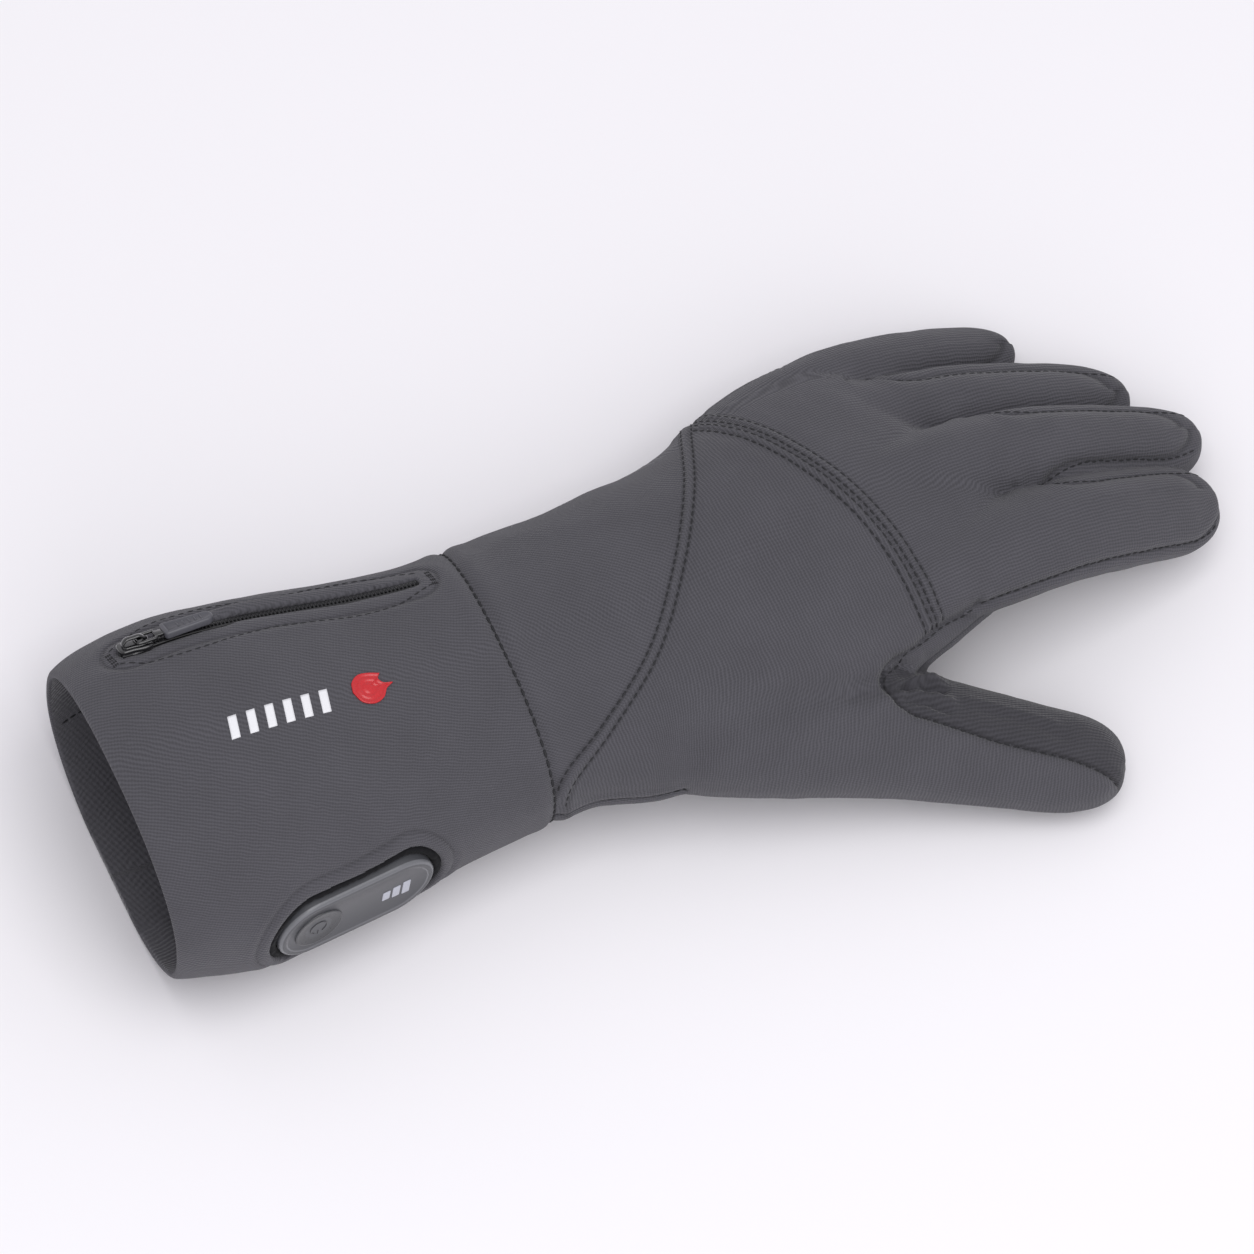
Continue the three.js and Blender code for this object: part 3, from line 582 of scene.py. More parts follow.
def coordinates(bm: BMesh) -> Array:
    """All points of a bmesh as an array."""
    return np.array([v.co for v in bm.verts], float).reshape(-1, 3)


def set_coordinates(bm: BMesh, points: Array) -> None:
    """Moves all points of a bmesh."""
    for vert, point in zip(bm.verts, points.tolist()):
        vert.co = point


def tube(bm: BMesh, rows: int, sides: int, place: Callable, closed: bool = True) -> None:
    """Rolls a grid into a tube and welds its long seam and its ends.

    Args:
        bm: Mesh that takes the tube.
        rows: Points along it.
        sides: Points round it.
        place: Gives points from shares along and round, each from 0 to 1.
        closed: Puts faces over the two ends.
    """
    made = bmesh.ops.create_grid(bm, x_segments=rows - 1, y_segments=sides, size=0.5)["verts"]
    shares = np.array([vert.co for vert in made]) + 0.5
    for vert, point in zip(made, place(shares[:, 0], shares[:, 1]).tolist()):
        vert.co = point
    bmesh.ops.remove_doubles(bm, verts=made, dist=1e-4)
    if closed:
        open_edges = [edge for edge in bm.edges if edge.is_boundary]
        bmesh.ops.holes_fill(bm, edges=open_edges, sides=0)
    bmesh.ops.recalc_face_normals(bm, faces=bm.faces)


def to_object(
    bm: BMesh, name: str, layout: Layout | None = None, place: Matrix | None = None
) -> Object:
    """Makes a bmesh an object of the scene, smooth-shaded.

    Args:
        bm: Mesh in millimetres; it is freed.
        name: Name of the object.
        layout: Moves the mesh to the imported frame, or leaves it where None.
        place: Frame of the layout that the mesh was made in, where it isn't the layout itself.

    Returns:
        The new object, at the origin.
    """
    for matrix in (place, layout and layout.matrix):
        if matrix is not None:
            bmesh.ops.transform(bm, matrix=matrix, verts=bm.verts)
    for face in bm.faces:
        face.smooth = True
    mesh = bpy.data.meshes.new(name)
    bm.to_mesh(mesh)
    bm.free()
    made = bpy.data.objects.new(name, mesh)
    bpy.context.scene.collection.objects.link(made)
    return made


def with_modifier(source: Object, kind: str, **settings: object) -> None:
    """Adds a modifier and applies it to the object's mesh.

    Args:
        source: Object to change.
        kind: The modifier's type.
        settings: Properties of the modifier.
    """
    modifier = source.modifiers.new(kind.title(), kind)
    for key, value in settings.items():
        setattr(modifier, key, value)
    graph = bpy.context.evaluated_depsgraph_get()
    mesh = bpy.data.meshes.new_from_object(source.evaluated_get(graph))
    source.modifiers.clear()
    source.data = mesh


def merged_skin(bodies: Iterable[BMesh], voxel: float, smoothing: int) -> BMesh:
    """Joins overlapping closed bodies into one even skin.

    Args:
        bodies: Closed meshes; they are freed.
        voxel: Size of the skin's faces in millimetres.
        smoothing: Rounds of smoothing after the join.

    Returns:
        The skin.
    """
    joined = bmesh.new()
    for body in bodies:
        mesh = bpy.data.meshes.new("part")
        body.to_mesh(mesh)
        body.free()
        joined.from_mesh(mesh)
        bpy.data.meshes.remove(mesh)
    source = to_object(joined, "joined")
    with_modifier(source, "REMESH", mode="VOXEL", voxel_size=voxel)
    skin = bmesh.new()
    skin.from_mesh(source.data)
    bpy.data.objects.remove(source)
    for _ in range(smoothing):
        bmesh.ops.smooth_vert(
            skin, verts=skin.verts, factor=0.5, use_axis_x=True, use_axis_y=True, use_axis_z=True
        )
    return skin


def cut_hole(bm: BMesh, plane: Array, distance: Callable) -> list[BMEdge]:
    """Deletes the faces that reach into an outline.

    Args:
        bm: Mesh to open.
        plane: Each point's place in the outline's plane, far off where it can't be cut.
        distance: Signed distance from the outline for an array of plane points.

    Returns:
        The hole's edges.
    """
    away = distance(plane)
    inside = away < 0
    bm.verts.index_update()
    doomed = [face for face in bm.faces if any(inside[v.index] for v in face.verts)]
    rim = {v for face in doomed for v in face.verts if not inside[v.index]}
    bmesh.ops.delete(bm, geom=doomed, context="FACES")
    return [edge for edge in bm.edges if edge.is_boundary and all(v in rim for v in edge.verts)]


# Materials


def linear(code: str) -> tuple[float, float, float, float]:
    """A hex sRGB colour as the linear values that a shader takes."""
    channels = [int(code[place : place + 2], 16) / 255 for place in (0, 2, 4)]
    curve = [c / 12.92 if c <= 0.04045 else ((c + 0.055) / 1.055) ** 2.4 for c in channels]
    return (*curve, 1.0)


def set_inputs(material: Material, node: ShaderNode, inputs: dict[str | int, object]) -> None:
    """Gives a node's inputs their values, or links them to output sockets.

    Args:
        material: Material that holds the node.
        node: The node.
        inputs: Values or output sockets, by the input's name or number.
    """
    for key, value in inputs.items():
        if isinstance(value, NodeSocket):
            material.node_tree.links.new(value, node.inputs[key])
        else:
            node.inputs[key].default_value = value


def add_node(
    material: Material, kind: str, inputs: dict[str | int, object] | None = None,
    **settings: object,
) -> ShaderNode:
    """Adds a node to a material.

    Args:
        material: Material that takes the node.
        kind: Node type without its ShaderNode prefix.
        inputs: Values, or output sockets to link, by the input's name or number.
        settings: Properties of the node.

    Returns:
        The node.
    """
    node = material.node_tree.nodes.new("ShaderNode" + kind)
    for key, value in settings.items():
        setattr(node, key, value)
    set_inputs(material, node, inputs or {})
    return node


def new_material(name: str) -> tuple[Material, ShaderNode]:
    """An empty node material and its Principled shader, linked to the output."""
    material = bpy.data.materials.new(name)
    material.use_nodes = True
    material.node_tree.nodes.clear()
    shader = add_node(material, "BsdfPrincipled")
    add_node(material, "OutputMaterial", {"Surface": shader.outputs["BSDF"]})
    return material, shader


def blend_colours(material: Material, share: NodeSocket, low: str, high: str) -> NodeSocket:
    """A colour between two hex colours, by a share from 0 to 1.

    Args:
        material: Material that takes the node.
        share: Socket of the share.
        low: Colour at 0.
        high: Colour at 1.

    Returns:
        Socket of the colour.
    """
    ends = {"Factor": share, "A": linear(low), "B": linear(high)}
    return add_node(material, "Mix", ends, data_type="RGBA").outputs["Result"]


@dataclass(frozen=True)
class RibbedShell:
    """Four-way stretch polyester shell, warp knitted with fine ribs, bonded to fleece.

    The ribs give the matt grey cloth its faint lines, as bumps and as painted shade darkening their
    furrows, and the fibres' ends a soft sheen.
    """

    name: str = "stretch_shell_warp_knitted"
    colour: str = "4D4C51"
    light: str = "59585E"
    pitch: float = 0.95  # mm between two ribs, as on the real cloth
    depth: float = 0.16  # mm
    furrow_shade: float = 0.16  # painted shade: how much darker the furrows are
    sheen: float = 0.14
    roughness: float = 0.88

    def make(self) -> Material:
        """Builds the node material."""
        material, shader = new_material(self.name)
        add = partial(add_node, material)
        weave = add("Attribute", attribute_name="weave").outputs["Vector"]
        finer = {0: weave, 1: (1 / self.pitch, 1 / self.pitch, 1 / self.pitch)}
        scaled = add("VectorMath", finer, operation="MULTIPLY").outputs[0]
        wander = add("TexNoise", {"Vector": scaled, "Scale": 0.22, "Detail": 2.0})
        parts = add("SeparateXYZ", {0: scaled}).outputs
        shift = {0: wander.outputs["Fac"], 1: 1.2, 2: parts["X"]}
        shifted = add("Math", shift, operation="MULTIPLY_ADD")
        turn = add("Math", {0: shifted.outputs[0], 1: 2 * math.pi}, operation="MULTIPLY")
        wave = add("Math", {0: turn.outputs[0]}, operation="SINE")
        # Loops along each rib, less than half as strong as the ribs
        turn = add("Math", {0: parts["Y"], 1: 2 * math.pi * 1.15}, operation="MULTIPLY")
        loops = add("Math", {0: turn.outputs[0]}, operation="SINE")
        both = {0: loops.outputs[0], 1: 0.4, 2: wave.outputs[0]}
        cloth = add("Math", both, operation="MULTIPLY_ADD").outputs[0]
        grain = add("TexNoise", {"Vector": scaled, "Scale": 1.7, "Detail": 3.0})
        rough = {0: grain.outputs["Fac"], 1: 1.6, 2: cloth}
        height = add("Math", rough, operation="MULTIPLY_ADD")
        # Seams are pressed in; further down their colour is darkened as painted shade
        seam = add("Attribute", attribute_name="seam").outputs["Fac"]
        ramp = {"Value": seam, 1: 0.0, 2: 0.9, 3: 0.0, 4: 1.0}
        near = add("MapRange", ramp, interpolation_type="SMOOTHSTEP")
        pressed = {0: near.outputs[0], 1: 5.0, 2: height.outputs[0]}
        deep = add("Math", pressed, operation="MULTIPLY_ADD").outputs[0]
        bump = add("Bump", {"Height": deep, "Strength": 0.55, "Distance": self.depth * MM})
        clouds = {"Vector": scaled, "Scale": 0.045, "Detail": 4.0, "Roughness": 0.6}
        mottle = add("TexNoise", clouds).outputs["Fac"]
        tone = blend_colours(material, mottle, self.colour, self.light)
        # Painted shade: the colour is darkened in the rib furrows
        ribbed = {"Value": cloth, 1: -1.2, 2: 1.0, 3: 1.0 - 2 * self.furrow_shade, 4: 1.0}
        furrow = add("MapRange", ribbed).outputs[0]
        # Painted shade: the colour darkens near the seams, and both painted shades scale the tone
        ramp = {"Value": seam, 1: 0.0, 2: 1.1, 3: 0.72, 4: 1.0}
        seam_shade = add("MapRange", ramp, interpolation_type="SMOOTHSTEP").outputs[0]
        dark = add("Math", {0: furrow, 1: seam_shade}, operation="MULTIPLY").outputs[0]
        shade = add("VectorMath", {0: tone, "Scale": dark}, operation="SCALE")
        surface = {
            "Base Color": shade.outputs[0], "Normal": bump.outputs[0],
            "Roughness": self.roughness, "Sheen Weight": self.sheen, "Sheen Roughness": 0.5,
            "Specular IOR Level": 0.25,
        }
        set_inputs(material, shader, surface)
        return material


@dataclass(frozen=True)
class Plain:
    """A finish with one colour and a fine grain: thread, coil, lacquer, moulded shells.

    The grain breaks the colour a little and roughens the gloss, so nothing looks poured.
    """

    name: str
    colour: str
    light: str
    roughness: float
    metallic: float = 0.0
    grain: float = 0.4  # mm
    depth: float = 0.02  # mm
    coat: float = 0.0
    sheen: float = 0.0
    specular: float = 0.5

    def make(self) -> Material:
        """Builds the node material."""
        material, shader = new_material(self.name)
        add = partial(add_node, material)
        place = add("TexCoord").outputs["Object"]
        speckle = {"Vector": place, "Scale": 1 / (self.grain * MM), "Detail": 3.0}
        grain = add("TexNoise", speckle).outputs["Fac"]
        tone = blend_colours(material, grain, self.colour, self.light)
        low, high = self.roughness * 0.88, min(1.0, self.roughness * 1.12)
        gloss = add("MapRange", {"Value": grain, 1: 0.3, 2: 0.7, 3: low, 4: high})
        bump = add("Bump", {"Height": grain, "Strength": 0.4, "Distance": self.depth * MM})
        surface = {
            "Base Color": tone, "Roughness": gloss.outputs[0], "Normal": bump.outputs[0],
            "Metallic": self.metallic, "Coat Weight": self.coat, "Sheen Weight": self.sheen,
            "Specular IOR Level": self.specular,
        }
        set_inputs(material, shader, surface)
        return material


class Finish(Enum):
    """The finishes of the glove."""

    SHELL = RibbedShell()
    # Darker rib knit on the thumb's inner side, with coarser ribs
    RIB_KNIT = RibbedShell(
        name="rib_knit_polyester", colour="3B3A3F", light="47464B", pitch=1.25, depth=0.16,
        furrow_shade=0.16, sheen=0.18,
    )
    # Brushed fleece inside the cuff: no shine at all
    FLEECE = RibbedShell(
        name="fleece_brushed", colour="525156", light="5D5C61", pitch=1.6, depth=0.2,
        furrow_shade=0.03, sheen=0.3, roughness=1.0,
    )
    # Spun polyester thread, darker than the cloth
    THREAD = Plain("sewing_thread_spun", "17171A", "242428", 0.75, grain=0.25, depth=0.04)
    # Woven zip tape: flat black with a fine grain
    TAPE = Plain("zip_tape_woven", "131315", "202023", 0.92, grain=0.5, depth=0.08, sheen=0.1)
    # Extruded nylon coil: slightly shiny black
    COIL = Plain("nylon_coil_extruded", "101012", "1B1B1E", 0.4, grain=0.3)
    # Lacquered die-cast zinc: glossy black
    LACQUER = Plain(
        "zinc_die_cast_lacquered", "0A0A0C", "141416", 0.16, grain=0.8, depth=0.006, coat=1.0
    )
    # Moulded soft PVC pull: satin dark grey
    PULL = Plain("soft_pvc_moulded", "4C4C52", "57575D", 0.36, grain=0.6, depth=0.015)
    # Dense spacer mesh round the control unit: black and fuzzy
    MESH = Plain(
        "spacer_mesh_knitted", "0B0B0D", "1A1A1D", 1.0, grain=0.5, depth=0.25, sheen=0.05,
        specular=0.15,
    )
    # Spark-eroded ABS of the control unit: satin dark grey
    ABS = Plain("abs_spark_eroded", "424347", "4B4C50", 0.36, grain=0.18, depth=0.012)
    # Rim of the same ABS, polished, its lighter colour a painted highlight along the sloped faces
    RIM_HIGHLIGHT = Plain("abs_rim_painted_highlight", "66676B", "707175", 0.2, grain=0.5, depth=0.004)
    # Silicone membrane of the press zone: smoother than the shell round it
    MEMBRANE = Plain("silicone_membrane", "353639", "3E3F42", 0.3, grain=0.4, depth=0.008)
    # Milky polycarbonate light pipes, unlit
    LENS = Plain("polycarbonate_diffuser", "A9ABB6", "B9BBC4", 0.3, grain=0.3, depth=0.006)
    # Raised red silicone transfer
    RED = Plain("silicone_transfer_red", "B3101A", "CC1F28", 0.3, grain=0.5, depth=0.02, coat=0.3)
    # White flock-free transfer: flat and opaque
    WHITE = Plain("transfer_print_white", "DEDEE2", "ECECEF", 0.6, grain=0.5, depth=0.02)

    def material(self) -> Material:
        """The finish's material, made once."""
        return bpy.data.materials.get(self.value.name) or self.value.make()


def finish_piece(
    piece: Object, finish: Finish, nodes: Sequence[str] = (), body: str = "glove",
) -> Object:
    """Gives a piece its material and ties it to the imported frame.

    Args:
        piece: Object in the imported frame.
        finish: Its first material.
        nodes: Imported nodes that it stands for.
        body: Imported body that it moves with.

    Returns:
        The piece.
    """
    if not piece.data.materials:
        piece.data.materials.append(finish.material())
    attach(piece, body)
    if nodes:
        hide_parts(*nodes)
    log.info("%s: %d faces", piece.name, len(piece.data.polygons))
    return piece


@dataclass
class Fold:
    """A soft ridge or furrow along a few given points."""

    points: Rows
    width: float
    height: float


# Folds of the hand in plan, in millimetres from the hem: points, width, height
HAND_FOLDS = (
    # The long soft fold from the web down to the thumb's ball
    Fold(((217, -39.5), (205, -40.5), (190, -41.5), (172, -42), (150, -41)), 4.5, -1.3),
    Fold(((219, -36), (205, -35), (190, -34.5), (172, -34), (155, -33)), 6.0, 0.9),
    Fold(((212, -50), (196, -50), (180, -49), (160, -47)), 6.0, 0.5),
    # Short gathers that fan out of the web
    Fold(((217.5, -42), (224, -41.5), (231, -42.5)), 1.6, 1.5),
    Fold(((217.5, -44), (223, -44.4), (230, -46.5)), 1.3, -1.6),
    Fold(((217.5, -46), (223, -47.2), (230, -50.5)), 1.6, 1.4),
    Fold(((218, -48), (222, -49.6), (228, -53.5)), 1.3, -1.3),
    Fold(((217.5, -40), (222, -39.2), (228, -38.6)), 1.5, -1.4),
    Fold(((214, -41), (209, -42), (203, -43.5)), 1.8, -0.8),
    Fold(((214, -46), (209, -48), (203, -51)), 2.2, 0.6),
    Fold(((236, -51), (246, -57), (256, -64)), 2.0, 0.7),
    Fold(((238, -55), (248, -61), (257, -68)), 1.8, -0.6),
    # Gentle hollows over the wrist and between the tendons
    Fold(((128, 30), (150, 26), (172, 20)), 9.0, -0.5),
    Fold(((122, 4), (140, 0), (160, -8)), 10.0, 0.5),
    Fold(((185, 12), (210, 15), (235, 18)), 12.0, 0.6),
    Fold(((196, -16), (218, -17), (240, -16)), 9.0, 0.5),
    Fold(((262, -14), (280, -14), (300, -12)), 6.0, 0.4),
)


class Label(Enum):
    """The sewn panels of the hand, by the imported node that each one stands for."""

    WRIST = "wrist_panel"
    BACK = "back_panel"
    FINGERS = "finger_panel"
    PALM = "palm_panel"
    THUMB = "thumb_panel"


@dataclass
class Hand:
    """The hand past the cuff's seam: one even skin, shaped and then cut into its panels."""

    form: Form
    voxel: float = 0.85
    overlap: float = 20.0  # how far the skin first reaches under the cuff
    smoothing: int = 14
    wrist_rows: tuple[float, ...] = (-1.4, 1.4)
    knuckle_rows: tuple[float, ...] = (-3.2, -0.85, 0.85, 3.2)
    # The thumb's seam and the web's edge in plan, from the thumb's tip to the index finger
    thumb_seam: tuple[tuple[float, float], ...] = (
        (275, -88), (268, -82.4), (262, -78.4), (256, -74.5), (246.6, -69.5), (237.2, -64.3),
        (230.3, -59.8), (223.1, -55.2), (217.8, -51.9), (214.8, -48.2), (213.7, -43.4),
        (214.3, -40.3), (217.4, -38.4), (228.6, -34.8), (235.7, -32.1), (247.3, -29.7),
    )
    # Ends of the three slits between the fingers, towards the hem
    crotches: tuple[tuple[float, float], ...] = ((271.0, 0.5), (264.0, 27.5), (242.5, 48.5))
    # Height of the sewn edge over a finger's middle as a share: its -Y side, its +Y side
    edge_levels: dict[str, Pair] = field(
        default_factory=lambda: {
            "index": (0.22, 0.8), "middle": (0.68, 0.8), "ring": (0.68, 0.8),
            "little": (0.68, 0.3), "thumb": (-0.5, 0.1), "web": (-0.15, -0.15),
        }
    )
    palm_level: float = -0.15
    web_end: float = 246.0  # past it the index finger's edge takes over from the thumb's seam
    strip_side: float = -39.5  # off the thumb's seam beyond this y, the cloth is the palm's
    knuckle_end: float = -36.5  # y where the knuckle rows end at the web
    # Where each finger's two sewn edges start, from the hem: its -Y side, its +Y side
    edge_starts: dict[str, Pair] = field(
        default_factory=lambda: {
            "index": (222.0, 271.0), "middle": (271.0, 264.0), "ring": (264.0, 242.5),
            "little": (242.5, 226.0),
        }
    )

    def bodies(self) -> list[BMesh]:
        """The overlapping closed bodies of the hand."""
        trunk = self.form.trunk
        start, end = CUFF_LENGTH - self.overlap, CUFF_LENGTH + HAND_LENGTH
        made = bmesh.new()
        tube(made, 90, 160, lambda u, v: on_floor(trunk.points(start + u * (end - start), 360 * v)))
        bodies = [made]
        for digit in self.form.digits:
            made = bmesh.new()
            tube(
                made,
                90,
                72,
                lambda u, v, digit=digit: on_floor(digit.points(1 - (1 - u) ** 1.8, 360 * v)),
            )
            bodies.append(made)
        return bodies

    def build(self) -> BMesh:
        """Makes the shaped skin, open at the cuff's seam."""
        skin = merged_skin(self.bodies(), self.voxel, self.smoothing)
        bmesh.ops.bisect_plane(
            skin, geom=[*skin.verts, *skin.edges, *skin.faces], dist=1e-4,
            plane_co=(CUFF_LENGTH, 0, 0), plane_no=(-1, 0, 0), clear_outer=True,
        )
        self.read(coordinates(skin))
        self.shape(skin)
        return skin

    def edge_level(self, name: str, x: Array, left: Array) -> Array:
        """Level of a digit's sewn edge, which rises out of the crotch that it starts in.

        Args:
            name: The digit.
            x: Places from the hem.
            left: True on its +Y side.

        Returns:
            Levels as shares of the half height.
        """
        levels = self.edge_levels[name]
        level = np.where(left, levels[1], levels[0])
        if name not in self.edge_starts:
            return level
        starts = self.edge_starts[name]
        opened = np.clip((x - np.where(left, starts[1], starts[0]) + 1.5) / 24.0, 0.0, 1.0)
        closed = (1 - opened) ** 2.6
        return level * (1 - closed) - 0.75 * closed

    def read(self, points: Array) -> None:
        """Finds which form each point belongs to, and its distances from the seams.

        Args:
            points: The skin's points.
        """
        trunk = self.form.trunk
        self.wrist = line_distance(points, self.seam_line(WRIST_SEAM))
        self.knuckle = line_distance(points, self.seam_line(KNUCKLE_SEAM))
        self.thumb = line_distance(points, smooth_line(self.thumb_seam, 3.0))
        x, around, share = trunk.locate(points)
        inside = np.clip(x, CUFF_LENGTH - self.overlap, CUFF_LENGTH + HAND_LENGTH)
        share = share + 0.1 * np.abs(x - inside)
        section = trunk.section(x)
        level = points[:, 2] - section[1] - self.palm_level * section[3]
        self.owner = np.full(len(points), -1)
        self.across = points[:, 1].copy()
        around = np.where(around > 270, around - 360, around)
        trunk_arc = np.radians(90 - around) * RIB_RADIUS + section[0]
        self.arc, self.along = trunk_arc.copy(), points[:, 0].copy()
        best = share.copy()
        digit_share = np.full(len(points), 9.0)
        digits = self.form.digits
        thumb_place = next(place for place, digit in enumerate(digits) if digit.name == "thumb")
        for place, digit in enumerate(digits):
            t, wide, up, far = digit.locate(points)
            _, _, half_width, half_height = digit.frame(np.clip(t, 0.0, 1.0))
            edge = self.edge_level(digit.name, points[:, 0], wide > 0) * half_height
            height = up - edge
            if digit.name == "index":
                # Near the web the thumb's seam is the edge
                near_web = (wide < 0) & (points[:, 0] < self.web_end)
                height = np.where(near_web, np.where(self.thumb > 0, 6.0, -6.0), height)
            if place >= thumb_place:
                # The thumb's upper side runs on into the back of the hand with no edge
                height = np.where((wide > 0) & (self.thumb > 0), 6.0, height)
            nearer = far < best
            best = np.where(nearer, far, best)
            self.owner[nearer] = place
            level = np.where(nearer, height, level)
            # The thumb's frame carries the cloth's ribs over the web too
            frame = digits[thumb_place] if place > thumb_place else digit
            if frame is not digit:
                t, wide, up, _ = frame.locate(points)
                _, _, half_width, half_height = frame.frame(np.clip(t, 0.0, 1.0))
            turn = np.arctan2(up / half_height, wide / half_width)
            turn = np.where(turn < -np.pi / 2, turn + 2 * np.pi, turn)
            middle = frame.start[1] + t * frame.reach * frame.along[1]
            arc = (np.pi / 2 - turn) * (half_width + half_height) / 2 + middle
            closest = far < digit_share
            digit_share = np.where(closest, far, digit_share)
            blend = smoothstep(share - far, -0.25, 0.15)
            self.arc = np.where(closest, trunk_arc + (arc - trunk_arc) * blend, self.arc)
            along = frame.start[0] + t * frame.reach
            mixed = points[:, 0] + (along - points[:, 0]) * blend
            self.along = np.where(closest, mixed, self.along)
        self.level = level

    def seam_line(self, rows: Sequence[Pair]) -> Array:
        """A seam of a table as points in plan."""
        points = [(CUFF_LENGTH + x * HAND_LENGTH, y * PALM_WIDTH / 2) for x, y in rows]
        return smooth_line(points, 4.0)

    def labels(self) -> Array:
        """The panel of each point."""
        names = [digit.name for digit in self.form.digits]
        thumb, web = names.index("thumb"), names.index("web")
        label = np.full(len(self.owner), Label.WRIST, dtype=object)
        label[self.wrist > 0] = Label.BACK
        label[(self.wrist > 0) & (self.knuckle > 0)] = Label.FINGERS
        on_thumb = (self.owner == thumb) | (self.owner == web)
        label[on_thumb & (label == Label.FINGERS)] = Label.BACK
        label[(self.thumb < 0) & (label != Label.WRIST)] = Label.THUMB
        fingers = (self.owner >= 0) & (self.owner < 4)
        label[fingers & (label == Label.THUMB)] = Label.FINGERS
        strip = (label == Label.THUMB) & (self.across > self.strip_side)
        label[strip] = Label.PALM
        label[self.level < 0] = Label.PALM
        return label

    def shape(self, skin: BMesh) -> None:
        """Presses the seams in, raises the folds and roughens the cloth a little.

        Args:
            skin: The even skin, whose points are moved.
        """
        skin.normal_update()
        points = coordinates(skin)
        normals = np.array([v.normal for v in skin.verts], float)
        push = np.zeros(len(points))
        top = smoothstep(normals[:, 2], 0.05, 0.4)
        off_thumb = smoothstep(self.thumb, -1.0, 2.0) * (self.owner < 4)
        for fold in HAND_FOLDS:
            line = smooth_line(fold.points, 3.0)
            distance = np.abs(line_distance(points, line))
            push += fold.height * ridge(distance, fold.width) * top
        wrist_top = top * (self.wrist > -60)
        push += wrist_top * 0.35 * ridge(self.wrist, 1.3)
        push -= wrist_top * 0.3 * ridge(np.abs(self.wrist) - 2.6, 1.4)
        knuckle_top = top * smoothstep(self.wrist, 2.0, 6.0) * off_thumb
        push += knuckle_top * 0.3 * ridge(np.abs(self.knuckle) - 1.8, 1.0)
        push -= knuckle_top * 0.35 * ridge(np.abs(self.knuckle) - 4.6, 1.6)
        push -= 0.8 * ridge(self.level, 1.1)
        push += 0.35 * ridge(np.abs(self.level) - 3.0, 1.5)
        thumb_side = top * (self.level > 0)
        push += thumb_side * 0.4 * ridge(np.abs(self.thumb) - 2.6, 1.4)
        push -= thumb_side * 0.9 * ridge(self.thumb, 1.0)
        push -= 1.0 * ridge(points[:, 0] - CUFF_LENGTH, 1.6)
        push += 0.35 * ridge(points[:, 0] - CUFF_LENGTH - 4.0, 2.5)
        for x, y in self.crotches:
            distance = np.hypot(points[:, 0] - x, points[:, 1] - y)
            push += top * (1.3 * ridge(distance, 3.4) - 1.4 * ridge(distance, 1.1))
        push += ripples(points, (0.35, 17.0), (0.16, 6.5))
        # Gathers where the web meets the back of the hand
        gather = np.hypot(points[:, 0] - 223, points[:, 1] + 44)
        push += 1.3 * top * ridge(gather, 9.0) * ripples(points, (0.9, 3.2))
        push += 1.0 * top * ridge(np.hypot(points[:, 0] - 226, points[:, 1] + 40), 3.2)
        push -= 1.2 * top * ridge(np.hypot(points[:, 0] - 220, points[:, 1] + 39.5), 2.2)
        free = smoothstep(points[:, 2], 0.0, 4.0)
        points += normals * (push * np.maximum(free, 0.0))[:, None]
        # The little finger's side stands out more than the plain form
        outer = smoothstep(points[:, 0], 175.0, 235.0) * smoothstep(points[:, 1], 30.0, 56.0)
        points[:, 1] += 3.0 * outer
        points[:, 2] = np.maximum(points[:, 2], 0.0)
        set_coordinates(skin, points)
        self.normals = normals

    def seam_distance(self) -> Array:
        """Distance from the nearest stitched row or sewn edge."""
        near = np.full(len(self.wrist), 9.0)
        for row in self.wrist_rows:
            near = np.minimum(near, np.abs(self.wrist - row))
        past = self.wrist > 2.0
        off = (self.thumb > 0.5) & (self.owner < 4)
        for row in self.knuckle_rows:
            near = np.where(past & off, np.minimum(near, np.abs(self.knuckle - row)), near)
        near = np.minimum(near, np.abs(self.level))
        thumb_side = (self.level > -1.0) & past
        near = np.where(thumb_side, np.minimum(near, np.abs(self.thumb)), near)
        return near


# The way each panel's ribs run against its length, in degrees
RIB_TURN = {
    Label.WRIST: -42.0,
    Label.BACK: 94.0,
    Label.FINGERS: 5.0,
    Label.PALM: 0.0,
    Label.THUMB: -6.0,
}


def weave_attribute(mesh: Mesh, along: Array, arc: Array, degrees: float) -> None:
    """Lays the cloth's ribs on a mesh, as an attribute in millimetres.

    Args:
        mesh: Mesh that takes the attribute.
        along: Each point's place along the form.
        arc: Its place round it.
        degrees: Turn of the ribs against the form's length.
    """
    turn = math.radians(degrees)
    across_ribs = -math.sin(turn) * along + math.cos(turn) * arc
    along_ribs = math.cos(turn) * along + math.sin(turn) * arc
    values = np.stack([across_ribs, along_ribs, np.zeros_like(arc)], axis=1)
    made = mesh.attributes.new("weave", "FLOAT_VECTOR", "POINT")
    made.data.foreach_set("vector", values.astype(np.float32).ravel())


def seam_attribute(mesh: Mesh, distance: Array) -> None:
    """Keeps each point's distance from the nearest seam, in millimetres."""
    made = mesh.attributes.new("seam", "FLOAT", "POINT")
    made.data.foreach_set("value", distance.astype(np.float32))


